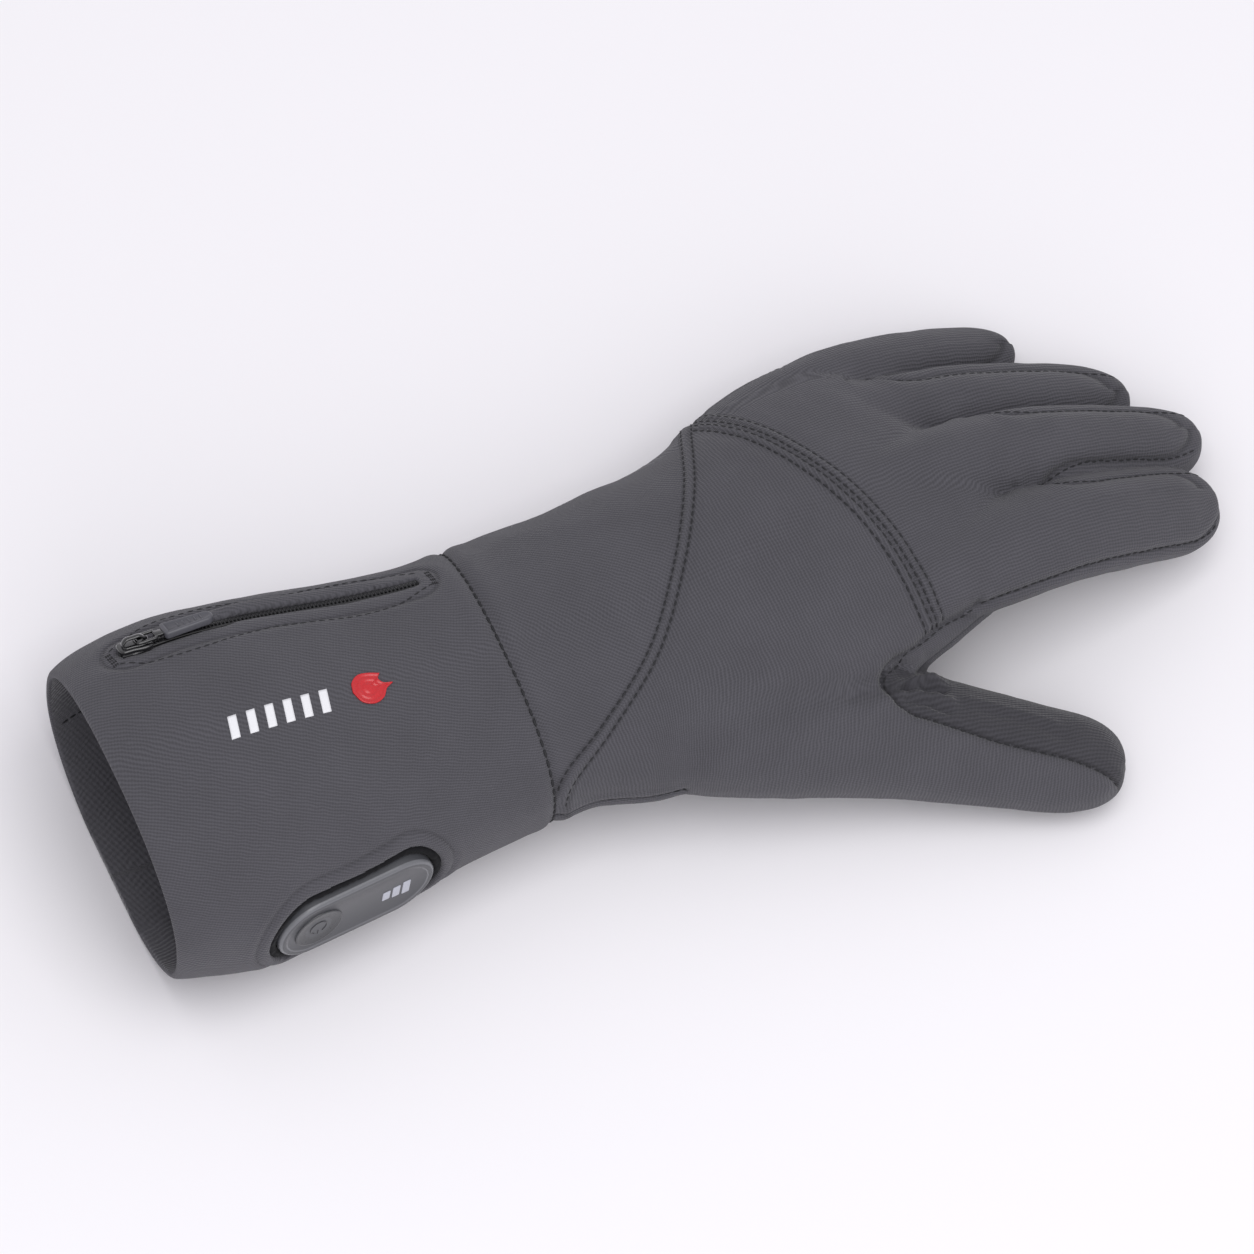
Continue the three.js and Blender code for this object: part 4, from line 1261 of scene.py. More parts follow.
@dataclass
class Panels:
    """Cuts the hand's skin into its sewn panels."""

    hand: Hand
    layout: Layout

    def build(self, skin: BMesh) -> list[Object]:
        """Makes one object for each panel."""
        labels = self.hand.labels()
        seams = self.hand.seam_distance()
        source = bpy.data.meshes.new("skin")
        skin.to_mesh(source)
        made = []
        for label in Label:
            panel = bmesh.new()
            panel.from_mesh(source)
            panel.verts.index_update()
            keep = {
                face.index
                for face in panel.faces
                if sum(labels[v.index] is label for v in face.verts) * 2 > len(face.verts)
                or self.breaks_tie(face, labels, label)
            }
            mark = panel.verts.layers.int.new("source")
            for vert in panel.verts:
                vert[mark] = vert.index
            doomed = [face for face in panel.faces if face.index not in keep]
            bmesh.ops.delete(panel, geom=doomed, context="FACES")
            kept = np.array([vert[mark] for vert in panel.verts])
            piece = to_object(panel, label.value + "_cloth", self.layout)
            weave_attribute(piece.data, self.hand.along[kept], self.hand.arc[kept], RIB_TURN[label])
            seam_attribute(piece.data, seams[kept])
            finish = Finish.RIB_KNIT if label is Label.THUMB else Finish.SHELL
            made.append(finish_piece(piece, finish, [label.value]))
        bpy.data.meshes.remove(source)
        return made

    def breaks_tie(self, face: BMFace, labels: Array, label: Label) -> bool:
        """Gives a face that no panel has most of to the panel of its first point.

        Args:
            face: A face of the skin.
            labels: The panel of each point.
            label: The panel that asks.

        Returns:
            Whether the panel gets it.
        """
        found = [labels[v.index] for v in face.verts]
        most = max(found.count(each) for each in found)
        return most * 2 <= len(found) and found[0] is label


def stadium_distance(points: Array, length: float, width: float) -> Array:
    """Distance outside a stadium round the origin; points hold x and y in their first columns."""
    run = np.maximum(np.abs(points[:, 0]) - (length - width) / 2, 0.0)
    return np.hypot(run, points[:, 1]) - width / 2


def stadium_points(share: Array, length: float, width: float) -> Array:
    """Points on a stadium's outline at shares of the way round it.

    Args:
        share: Shares of the way, from 0 to 1.
        length: Whole length.
        width: Whole width.

    Returns:
        Points in plan.
    """
    straight, radius = length - width, width / 2
    whole = 2 * straight + 2 * math.pi * radius
    way = (np.asarray(share, float) % 1.0) * whole
    knots = np.cumsum([0.0, straight, math.pi * radius, straight, math.pi * radius])
    part = np.clip(np.searchsorted(knots, way, side="right") - 1, 0, 3)
    on = way - knots[part]
    turn = on / radius
    xs = np.select(
        [part == 0, part == 1, part == 2],
        [-straight / 2 + on, straight / 2 + radius * np.sin(turn), straight / 2 - on],
        -straight / 2 - radius * np.sin(turn),
    )
    ys = np.select(
        [part == 0, part == 1, part == 2],
        [np.full_like(on, -radius), -radius * np.cos(turn), np.full_like(on, radius)],
        radius * np.cos(turn),
    )
    return np.stack([xs, ys], axis=-1)


def transformed(matrix: Matrix, points: Array) -> Array:
    """An array of points moved by a matrix."""
    moved = np.array(matrix)
    return points @ moved[:3, :3].T + moved[:3, 3]


class Skin:
    """A finished cloth face that other pieces are laid on."""

    def __init__(self, bm: BMesh) -> None:
        """Keeps a search tree of the mesh."""
        self.tree = BVHTree.FromBMesh(bm)

    def under(self, matrix: Matrix, flat: Array, reach: float = 14.0) -> Array:
        """Drops points of a frame's plane onto the cloth.

        Args:
            matrix: The frame; its z points out of the cloth.
            flat: Points with x and y in the plane and height over the cloth as z.
            reach: How far over the plane the drop starts.

        Returns:
            Points in the layout.
        """
        normal = (matrix.to_3x3() @ Vector((0, 0, 1))).normalized()
        placed = []
        for x, y, high in flat.tolist():
            start = matrix @ Vector((x, y, reach))
            hit, out, _, _ = self.tree.ray_cast(start, -normal)
            if hit is None:
                hit, out = matrix @ Vector((x, y, 0.0)), normal
            if out.dot(normal) < 0:
                out = -out
            placed.append(hit + out * high)
        return np.array(placed)

    def below(self, plan: Array) -> tuple[Array, Array]:
        """Points of the cloth under places in plan, and the cloth's directions outwards.

        Args:
            plan: Places in plan.

        Returns:
            The points found and the directions there.
        """
        points, normals = [], []
        for x, y in plan[:, :2].tolist():
            hit, out, _, _ = self.tree.ray_cast(Vector((x, y, 200.0)), Vector((0, 0, -1)))
            if hit is not None:
                points.append(hit)
                normals.append(out)
        return np.array(points), np.array(normals)

    def nearest(self, points: Array) -> tuple[Array, Array]:
        """The nearest points of the cloth and its directions outwards there."""
        found = [self.tree.find_nearest(Vector(point)) for point in points.tolist()]
        return np.array([hit[0] for hit in found]), np.array([hit[1] for hit in found])


def slab(outline: Array, low: float, high: float, bevel: float = 0.0, segments: int = 3) -> BMesh:
    """A plate from an outline, with rounded edges on both sides.

    Args:
        outline: Points of the outline in plan, in order.
        low: Height of its lower face.
        high: Height of its upper face.
        bevel: Size of the rounded edges.
        segments: Steps in them.

    Returns:
        The plate.
    """
    bm = bmesh.new()
    ring = [bm.verts.new((x, y, low)) for x, y in np.asarray(outline)[:, :2].tolist()]
    face = bm.faces.new(ring)
    lifted = bmesh.ops.extrude_face_region(bm, geom=[face])["geom"]
    top = [item for item in lifted if isinstance(item, BMVert)]
    bmesh.ops.translate(bm, verts=top, vec=(0, 0, high - low))
    bmesh.ops.recalc_face_normals(bm, faces=bm.faces)
    if bevel > 0:
        edges = [edge for edge in bm.edges if abs(edge.verts[0].co.z - edge.verts[1].co.z) < 1e-6]
        bmesh.ops.bevel(
            bm, geom=edges, offset=bevel, affect="EDGES", segments=segments, profile=0.5,
            material=-1, clamp_overlap=True,
        )
    return bm


def largest_face(bm: BMesh, side: int = 1) -> BMFace:
    """The largest face that looks up, or down where side is -1."""
    facing = (face for face in bm.faces if face.normal.z * side > 0.9)
    return max(facing, key=lambda face: face.calc_area())


def sweep(bm: BMesh, path: Array, wide: float, high: float, closed: bool = False) -> None:
    """Runs a rounded bar along a path that lies in a plane.

    Args:
        bm: Mesh that takes the bar.
        path: Points of the path.
        wide: Half the bar's size across the path's plane.
        high: Half its size in the plane.
        closed: Joins the path's two ends.
    """
    count = len(path)
    if closed:
        before, after = np.roll(path, 1, axis=0), np.roll(path, -1, axis=0)
    else:
        before, after = np.vstack([path[:1], path[:-1]]), np.vstack([path[1:], path[-1:]])
    along = unit(after - before)
    flat = np.cross(path[count // 2] - path[0], path[count // 4] - path[0])
    flat /= np.linalg.norm(flat)
    side = np.cross(along, flat)

    def place(u: Array, v: Array) -> Array:
        """Points of the bar."""
        row = np.rint(u * (count if closed else count - 1)).astype(int) % count
        turn = 2 * np.pi * v
        across = signed_power(np.cos(turn), 0.7) * wide
        up = signed_power(np.sin(turn), 0.7) * high
        return path[row] + across[:, None] * flat + up[:, None] * side[row]

    tube(bm, count + 1 if closed else count, 12, place, closed=not closed)


def add_mesh(bm: BMesh, other: BMesh) -> None:
    """Adds one bmesh to another and frees it."""
    mesh = bpy.data.meshes.new("part")
    other.to_mesh(mesh)
    other.free()
    bm.from_mesh(mesh)
    bpy.data.meshes.remove(mesh)


@dataclass
class Cuff:
    """The long cuff: turned hem, zip slot, window of the control unit and its fleece inside."""

    form: Form
    spacing: float = 0.78
    inner_spacing: float = 1.8
    sides: int = 344
    fold: float = 1.1  # radius of the turned hem
    zip_place: float = 60.0
    zip_angle: float = 50.0
    slot: Pair = (90.0, 5.2)
    unit_place: float = 52.5
    unit_angle: float = 180.0
    window: Pair = (56.8, 30.8)
    topstitch: float = 4.6  # from the slot's edge
    ridge_row: float = 3.3  # pressed row round the window, from its edge
    rib_turn: float = -24.0

    def __post_init__(self) -> None:
        """Sets the frames of the zip and the unit."""
        half = self.slot[0] / 2
        self.zip_frame = self.frame(self.zip_place, self.zip_angle, half, half)
        self.unit_frame = self.frame(self.unit_place, self.unit_angle, 25.0, 25.0)

    def frame(self, x: float, degrees: float, back: float, ahead: float) -> Matrix:
        """A frame on the cuff: x along it, z out of the cloth.

        Args:
            x: Place from the hem.
            degrees: Angle round the cuff.
            back: How far back its x direction is read.
            ahead: How far ahead it is read.

        Returns:
            The frame.
        """

        def spot(place: float, turn: float) -> Vector:
            """A point of the plain face."""
            return Vector(self.form.trunk.points(np.array(place), np.array(turn), 0.0, False))

        along = (spot(x + ahead, degrees) - spot(x - back, degrees)).normalized()
        out = (spot(x, degrees + 1) - spot(x, degrees - 1)).cross(along).normalized()
        across = out.cross(along)
        return axes(spot(x, degrees), along, across, out)

    def profile(self) -> Array:
        """Rows of x and growth: inside to the hem, round its fold and along the outer face."""
        inner = np.linspace(CUFF_LENGTH, self.fold, int(CUFF_LENGTH / self.inner_spacing))
        turn = np.radians(np.linspace(270, 90, 9))[1:-1]
        outer = np.linspace(self.fold, CUFF_LENGTH, int(CUFF_LENGTH / self.spacing))
        xs = np.concatenate([inner, self.fold * (1 + np.cos(turn)), outer])
        grow = np.concatenate(
            [
                np.full_like(inner, -2 * self.fold), self.fold * (np.sin(turn) - 1),
                np.zeros_like(outer),
            ]
        )
        return np.stack([xs, grow], axis=1)

    def local(self, matrix: Matrix, points: Array) -> Array:
        """Points in a frame, sent far off where they are on the cuff's other side."""
        placed = transformed(matrix.inverted(), points)
        placed[placed[:, 2] < -14.0] += 900.0
        return placed

    def relief(self, points: Array, degrees: Array) -> Array:
        """How far the cloth stands out of its plain form.

        Args:
            points: Points of the plain form.
            degrees: Their angles round the cuff.

        Returns:
            A distance for each point.
        """
        x = points[:, 0]
        push = -1.0 * ridge(x - CUFF_LENGTH, 1.6) + 0.35 * ridge(x - CUFF_LENGTH + 4.0, 2.5)
        zipped = self.local(self.zip_frame, points)
        slot = stadium_distance(zipped, *self.slot)
        upper = zipped[:, 1] > 0
        run = smoothstep(zipped[:, 0], 46.0, 24.0) * smoothstep(zipped[:, 0], -26.0, -8.0)
        lip = ridge(slot - 1.6, 2.2)
        push += np.where(upper, 1.5 * run, 0.45) * lip
        push += np.where(upper, 0.5 * run * ridge(slot - 6.5, 4.5), 0.0)
        push -= 0.35 * ridge(slot - self.topstitch, 0.8)
        push += 0.25 * ridge(slot - self.topstitch - 2.2, 1.4)
        # The cloth pulls a little where the slider's end is tacked down
        push -= 0.8 * ridge(np.hypot(zipped[:, 0] + 49, zipped[:, 1]), 4.0)
        under_tab = smoothstep(np.abs(zipped[:, 0] + 27), 17.0, 12.0)
        push -= 0.8 * under_tab * ridge(zipped[:, 1], 5.0)
        placed = self.local(self.unit_frame, points)
        window = stadium_distance(placed, *self.window)
        push += 0.5 * ridge(window - 1.4, 1.3) - 0.45 * ridge(window - self.ridge_row, 0.8)
        push += 0.3 * ridge(window - self.ridge_row - 2.2, 1.5) + 0.4 * ridge(window, 9.0)
        # Long soft waves, strongest where the cloth hangs free under the unit
        low = ridge(((degrees - 235.0 + 180) % 360) - 180, 30.0)
        push += low * (0.9 * ridge(x - 26, 9.0) - 1.1 * ridge(x - 9, 5.0))
        high = ridge(((degrees - 95.0 + 180) % 360) - 180, 35.0)
        push += high * (0.5 * ridge(x - 92, 11.0) - 0.35 * ridge(x - 22, 9.0))
        return push + ripples(points, (0.4, 24.0), (0.13, 8.0))

    def seam_distance(self, points: Array) -> Array:
        """Distance from the nearest stitched row."""
        slot = stadium_distance(self.local(self.zip_frame, points), *self.slot)
        window = stadium_distance(self.local(self.unit_frame, points), *self.window)
        near = np.minimum(np.abs(slot - self.topstitch), np.abs(window - self.ridge_row) + 0.35)
        return np.minimum(near, CUFF_LENGTH - points[:, 0])

    def build(self, layout: Layout) -> Skin:
        """Makes the cuff.

        Args:
            layout: Where the finished piece goes.

        Returns:
            The cloth's outer face before it is cut.
        """
        rows = self.profile()
        trunk = self.form.trunk

        def place(u: Array, v: Array) -> Array:
            """Points of both layers, shaped."""
            row = np.rint(u * (len(rows) - 1)).astype(int)
            x, grow, degrees = rows[row, 0], rows[row, 1], 360 * v
            points = trunk.points(x, degrees, grow)
            inner = trunk.points(x, degrees, grow - 1.0)
            faded = self.relief(points, degrees) * smoothstep(x, -1.0, 9.0)
            points = on_floor(points + unit(points - inner) * faded[:, None])
            inside = grow < -self.fold
            points[inside, 2] = np.maximum(points[inside, 2], 2 * self.fold)
            return points

        bm = bmesh.new()
        tube(bm, len(rows), self.sides, place, closed=False)
        skin = Skin(bm)
        for matrix, size in ((self.zip_frame, self.slot), (self.unit_frame, self.window)):
            self.open_wall(bm, matrix, size)
        layers = coordinates(bm)
        _, degrees, share = trunk.locate(layers)
        piece = to_object(bm, "cuff_cloth", layout)
        arc = np.radians(90 - np.where(degrees > 270, degrees - 360, degrees)) * RIB_RADIUS
        weave_attribute(piece.data, layers[:, 0], arc, self.rib_turn)
        seam_attribute(piece.data, self.seam_distance(layers))
        piece.data.materials.append(Finish.SHELL.material())
        piece.data.materials.append(Finish.FLEECE.material())
        section = trunk.section(layers[:, 0])
        depth = (1 - share) * np.minimum(section[2], section[3])
        inside = depth > 1.5
        for polygon in piece.data.polygons:
            polygon.material_index = int(all(inside[v] for v in polygon.vertices))
        finish_piece(piece, Finish.SHELL, ["cuff"])
        return skin

    def open_wall(self, bm: BMesh, matrix: Matrix, size: Pair) -> None:
        """Cuts a stadium through both layers and rolls its edge in.

        Args:
            bm: The cuff.
            matrix: Frame of the opening.
            size: Its length and width.
        """
        plane = self.local(matrix, coordinates(bm))
        rim = cut_hole(bm, plane, lambda flat: stadium_distance(flat, *size))
        if not rim:
            return
        self.draw(rim, matrix, size)
        loops = edge_loops(rim)
        loops.sort(key=lambda loop: -mean_height(loop, matrix))
        outer, inner = loops[0], loops[-1]
        for inward, drop in ((0.3, 0.22), (0.3, 0.55), (0.05, 0.9)):
            made = bmesh.ops.extrude_edge_only(bm, edges=outer)["geom"]
            fresh = [item for item in made if isinstance(item, BMEdge)]
            outer = [edge for edge in fresh if edge.is_boundary]
            self.draw(outer, matrix, size, inward, drop)
        bmesh.ops.bridge_loops(bm, edges=[*outer, *inner])

    def draw(
        self, edges: Sequence[BMEdge], matrix: Matrix, size: Pair, inward: float | None = None,
        drop: float = 0.0,
    ) -> None:
        """Moves edges square to an outline and down.

        Args:
            edges: Edges near the outline.
            matrix: Frame of the opening.
            size: The outline's length and width.
            inward: Way towards its middle, or None to go onto the outline.
            drop: Way down.
        """
        turned = matrix.inverted()
        for vert in {v for edge in edges for v in edge.verts}:
            place = turned @ vert.co
            away = stadium_distance(np.array([[place.x, place.y]]), *size)[0]
            run = max(abs(place.x) - (size[0] - size[1]) / 2, 0.0) * math.copysign(1, place.x)
            out = Vector((run, place.y, 0.0)).normalized()
            place -= out * (away if inward is None else inward)
            place.z -= drop
            vert.co = matrix @ place


def edge_loops(edges: Sequence[BMEdge]) -> list[list[BMEdge]]:
    """Sorts edges into connected loops."""
    left, loops = set(edges), []
    while left:
        stack, loop = [left.pop()], []
        while stack:
            edge = stack.pop()
            loop.append(edge)
            for vert in edge.verts:
                for other in vert.link_edges:
                    if other in left:
                        left.remove(other)
                        stack.append(other)
        loops.append(loop)
    loops.sort(key=len, reverse=True)
    return loops[:2]


def mean_height(loop: Sequence[BMEdge], matrix: Matrix) -> float:
    """Mean height of a loop over a frame's plane."""
    turned = matrix.inverted()
    return sum((turned @ edge.verts[0].co).z for edge in loop) / len(loop)


@dataclass
class ZipFastener:
    """The side zip: tape and coil in the slot, and the slider with its link and pull tab."""

    cuff: Cuff
    bare: Skin
    layout: Layout
    tape_width: float = 15.0
    pitch: float = 1.15  # between two teeth of a row
    head_place: float = 20.3
    hinge_height: float = 2.45
    hinge_place: float = 0.6
    link_window: float = 5.4
    link_width: float = 4.8
    wire: float = 0.9
    tongue: Pair = (4.2, 2.6)
    tab_length: float = 15.0
    tab_width: float = 5.8
    tab_end: float = 4.4
    tab_thickness: float = 2.3
    tab_overlap: float = 2.4

    def slot_point(self, x: float) -> Vector:
        """The plain face's point over the middle of the slot."""
        matrix = self.cuff.zip_frame
        point = self.cuff.form.trunk.points(np.array(x), np.array(self.cuff.zip_angle), 0.0, False)
        local = matrix.inverted() @ Vector(point)
        local.y = 0.0
        return matrix @ local

    def head_frame(self) -> Matrix:
        """Frame of the slider, as in the solids."""
        reach = self.hinge_place + self.link_window + self.tongue[0]
        reach += self.tab_length - self.tab_overlap
        origin = self.slot_point(self.head_place)
        along = (self.slot_point(self.head_place + reach) - origin).normalized()
        across = self.cuff.zip_frame.to_3x3() @ Vector((0, 1, 0))
        return axes(origin, along, across, along.cross(across))

    def tape(self) -> None:
        """Woven tape under the slot, with its middle a little raised by the coil."""
        length = self.cuff.slot[0] + self.tape_width - self.cuff.slot[1]
        bm = bmesh.new()
        bmesh.ops.create_grid(bm, x_segments=110, y_segments=18, size=0.5)
        flat = coordinates(bm)
        flat[:, 0] *= length
        flat[:, 1] *= self.tape_width
        flat[:, 2] = -3.3 + 1.7 * ridge(flat[:, 1], 3.4)
        set_coordinates(bm, self.bare.under(self.cuff.zip_frame, flat))
        bmesh.ops.solidify(bm, geom=bm.faces, thickness=-0.7)
        bmesh.ops.recalc_face_normals(bm, faces=bm.faces)
        piece = to_object(bm, "zip_tape_woven", self.layout)
        finish_piece(piece, Finish.TAPE, ["zip_tape"])

    def coil(self) -> None:
        """Two interlocked rows of moulded loops on a core cord."""
        bm = bmesh.new()
        length = self.cuff.slot[0] - 0.8
        start = -self.cuff.slot[0] / 2 + 0.4
        count = int(length / self.pitch)
        for side in (-1, 1):
            xs = start + self.pitch * (np.arange(count) + (0.5 if side > 0 else 0.0))
            ends = np.stack([xs, np.full(count, 1.25 * side), np.full(count, -0.55)], axis=1)
            hooks = np.stack([xs, np.full(count, -0.35 * side), np.full(count, -0.3)], axis=1)
            outer = self.bare.under(self.cuff.zip_frame, ends)
            inner = self.bare.under(self.cuff.zip_frame, hooks)
            for a, b in zip(outer, inner):
                capsule(bm, Vector(a), Vector(b), 0.36, Vector((0, 0, 1)))
        for side in (-1, 1):
            xs = np.linspace(start, -start, 120)
            line = np.stack([xs, np.full_like(xs, 1.3 * side), np.full_like(xs, -0.75)], axis=1)
            self.cord(bm, self.bare.under(self.cuff.zip_frame, line), 0.42)
        piece = to_object(bm, "zip_coil_loops", self.layout)
        finish_piece(piece, Finish.COIL, ["zip_coil"])

    def cord(self, bm: BMesh, path: Array, radius: float) -> None:
        """Runs a round cord along a path.

        Args:
            bm: Mesh that takes it.
            path: Points of its middle.
            radius: Half its thickness.
        """
        along = unit(np.gradient(path, axis=0))
        side = unit(np.cross(along, [0.0, 0.0, 1.0]))
        up = np.cross(side, along)

        def place(u: Array, v: Array) -> Array:
            """Points of the cord."""
            row = np.rint(u * (len(path) - 1)).astype(int)
            turn = 2 * np.pi * v
            across, high = radius * np.cos(turn), radius * np.sin(turn)
            return path[row] + across[:, None] * side[row] + high[:, None] * up[row]

        tube(bm, len(path), 8, place)

    def slider(self) -> None:
        """Die-cast slider: two plates, flanges and the bridge that holds the link."""
        bm = bmesh.new()
        body = (
            (-4.9, 1.0), (-4.6, 2.1), (-3.6, 2.7), (-1.0, 2.8), (1.6, 3.3), (3.4, 3.45),
            (4.6, 3.0), (5.0, 1.9), (4.6, 0.6),
        )
        half = np.array(body)
        outline = np.vstack([half, half[::-1] * (1, -1)])
        add_mesh(bm, slab(outline, 0.3, 1.7, 0.45, 4))
        crown = np.vstack([half * (0.72, 0.66), half[::-1] * (0.72, -0.66)])
        add_mesh(bm, slab(crown, 1.4, 2.0, 0.28, 3))
        neck = stadium_points(np.linspace(0, 1, 32, endpoint=False), 8.0, 3.2)
        add_mesh(bm, slab(neck, -0.6, 0.6, 0.1, 2))
        for side in (-1, 1):
            flange = np.array([(-4.2, 2.0), (3.4, 2.7), (3.9, 3.3), (-4.4, 2.6)]) * (1, side)
            flange = flange if side > 0 else flange[::-1]
            add_mesh(bm, slab(flange, -0.8, 0.6, 0.2, 2))
        foot = ((3.3, 1.4), (3.2, 2.6), (2.4, 3.5))
        arch = [(-x, 0, z) for x, z in foot] + [(0, 0, 3.75)] + [(x, 0, z) for x, z in foot[::-1]]
        sweep(bm, smooth_line(arch, 0.35), 0.85, 0.45)
        piece = to_object(bm, "zip_slider_cast", self.layout, self.head_frame())
        finish_piece(piece, Finish.LACQUER, ["zip_slider"])

    def link(self) -> None:
        """Wire frame that hangs on the bridge, with the flat tongue that the tab grips."""
        bm = bmesh.new()
        start = self.hinge_place
        end = self.hinge_place + self.link_window + self.wire / 2
        wide = (self.link_width - self.wire) / 2
        corners = rounded_rectangle((start + end) / 2, end - start, 2 * wide, 0.7)
        path = np.column_stack([corners, np.full(len(corners), self.hinge_height)])
        sweep(bm, path, self.wire / 2, self.wire / 2, closed=True)
        length, width = self.tongue
        place = end + length / 2
        outline = rounded_rectangle(place, length + self.wire, width, 0.8)
        low, high = self.hinge_height - 0.45, self.hinge_height + 0.45
        add_mesh(bm, slab(outline, low, high, 0.15, 2))
        piece = to_object(bm, "zip_link_wire", self.layout, self.head_frame())
        finish_piece(piece, Finish.LACQUER, ["zip_link"], "zip_pull")

    def tab(self) -> None:
        """Moulded pull tab: tapered, round at its end, with a sunk grip panel on both sides."""
        start = self.hinge_place + self.link_window + self.wire + self.tongue[0] - self.tab_overlap
        near, far, end = self.tab_width / 2, self.tab_end / 2, start + self.tab_length
        turn = np.radians(np.linspace(-90, 90, 17))
        tip = np.stack([end - far + far * np.cos(turn), far * np.sin(turn)], axis=1)
        root = [(start + 0.9, near), (start + 0.2, near - 0.3), (start, near - 1.1)]
        root += [(x, -y) for x, y in reversed(root)]
        outline = np.vstack([tip, root])
        low = self.hinge_height - self.tab_thickness / 2
        bm = slab(outline, low, low + self.tab_thickness, 0.55, 4)
        for side in (1, -1):
            big = largest_face(bm, side)
            bmesh.ops.inset_region(bm, faces=[big], thickness=0.45, depth=0.0)
            bmesh.ops.inset_region(bm, faces=[big], thickness=0.25, depth=-0.22)
        for x in np.linspace(start + 4.5, end - 3.5, 5):
            for side in (1, -1):
                high = self.hinge_height + side * (self.tab_thickness / 2 - 0.22)
                capsule(bm, Vector((x, -1.1, high)), Vector((x, 1.1, high)), 0.3, Vector((0, 0, 1)))
        piece = to_object(bm, "zip_pull_tab_moulded", self.layout, self.head_frame())
        finish_piece(piece, Finish.PULL, ["zip_tab"], "zip_pull")

    def build(self) -> None:
        """Makes the whole zip."""
        self.tape()
        self.coil()
        self.slider()
        self.link()
        self.tab()


def rounded_rectangle(middle: float, length: float, width: float, corner: float) -> Array:
    """Outline of a rectangle with round corners, its middle on the x axis.

    Args:
        middle: Its middle's x.
        length: Size along x.
        width: Size along y.
        corner: Radius of its corners.

    Returns:
        Points in order.
    """
    points = []
    for quarter, (sx, sy) in enumerate(((1, 1), (-1, 1), (-1, -1), (1, -1))):
        x, y = middle + sx * (length / 2 - corner), sy * (width / 2 - corner)
        for turn in np.radians(np.linspace(90 * quarter, 90 * quarter + 90, 6)):
            points.append((x + corner * math.cos(turn), y + corner * math.sin(turn)))
    return np.array(points)


def capsule(bm: BMesh, start: Vector, end: Vector, radius: float, out: Vector) -> None:
    """A short rounded strand between two points.

    Args:
        bm: Mesh that takes it.
        start: One end.
        end: The other end.
        radius: Half its thickness.
        out: Direction out of the surface that it lies on.
    """
    along = end - start
    length = along.length
    along.normalize()
    side = out.cross(along).normalized()
    matrix = axes((start + end) / 2, along, side, along.cross(side))
    matrix = matrix @ Matrix.Diagonal((length / 2 + radius * 0.6, radius, radius, 1.0))
    bmesh.ops.create_icosphere(bm, subdivisions=2, radius=1.0, matrix=matrix)


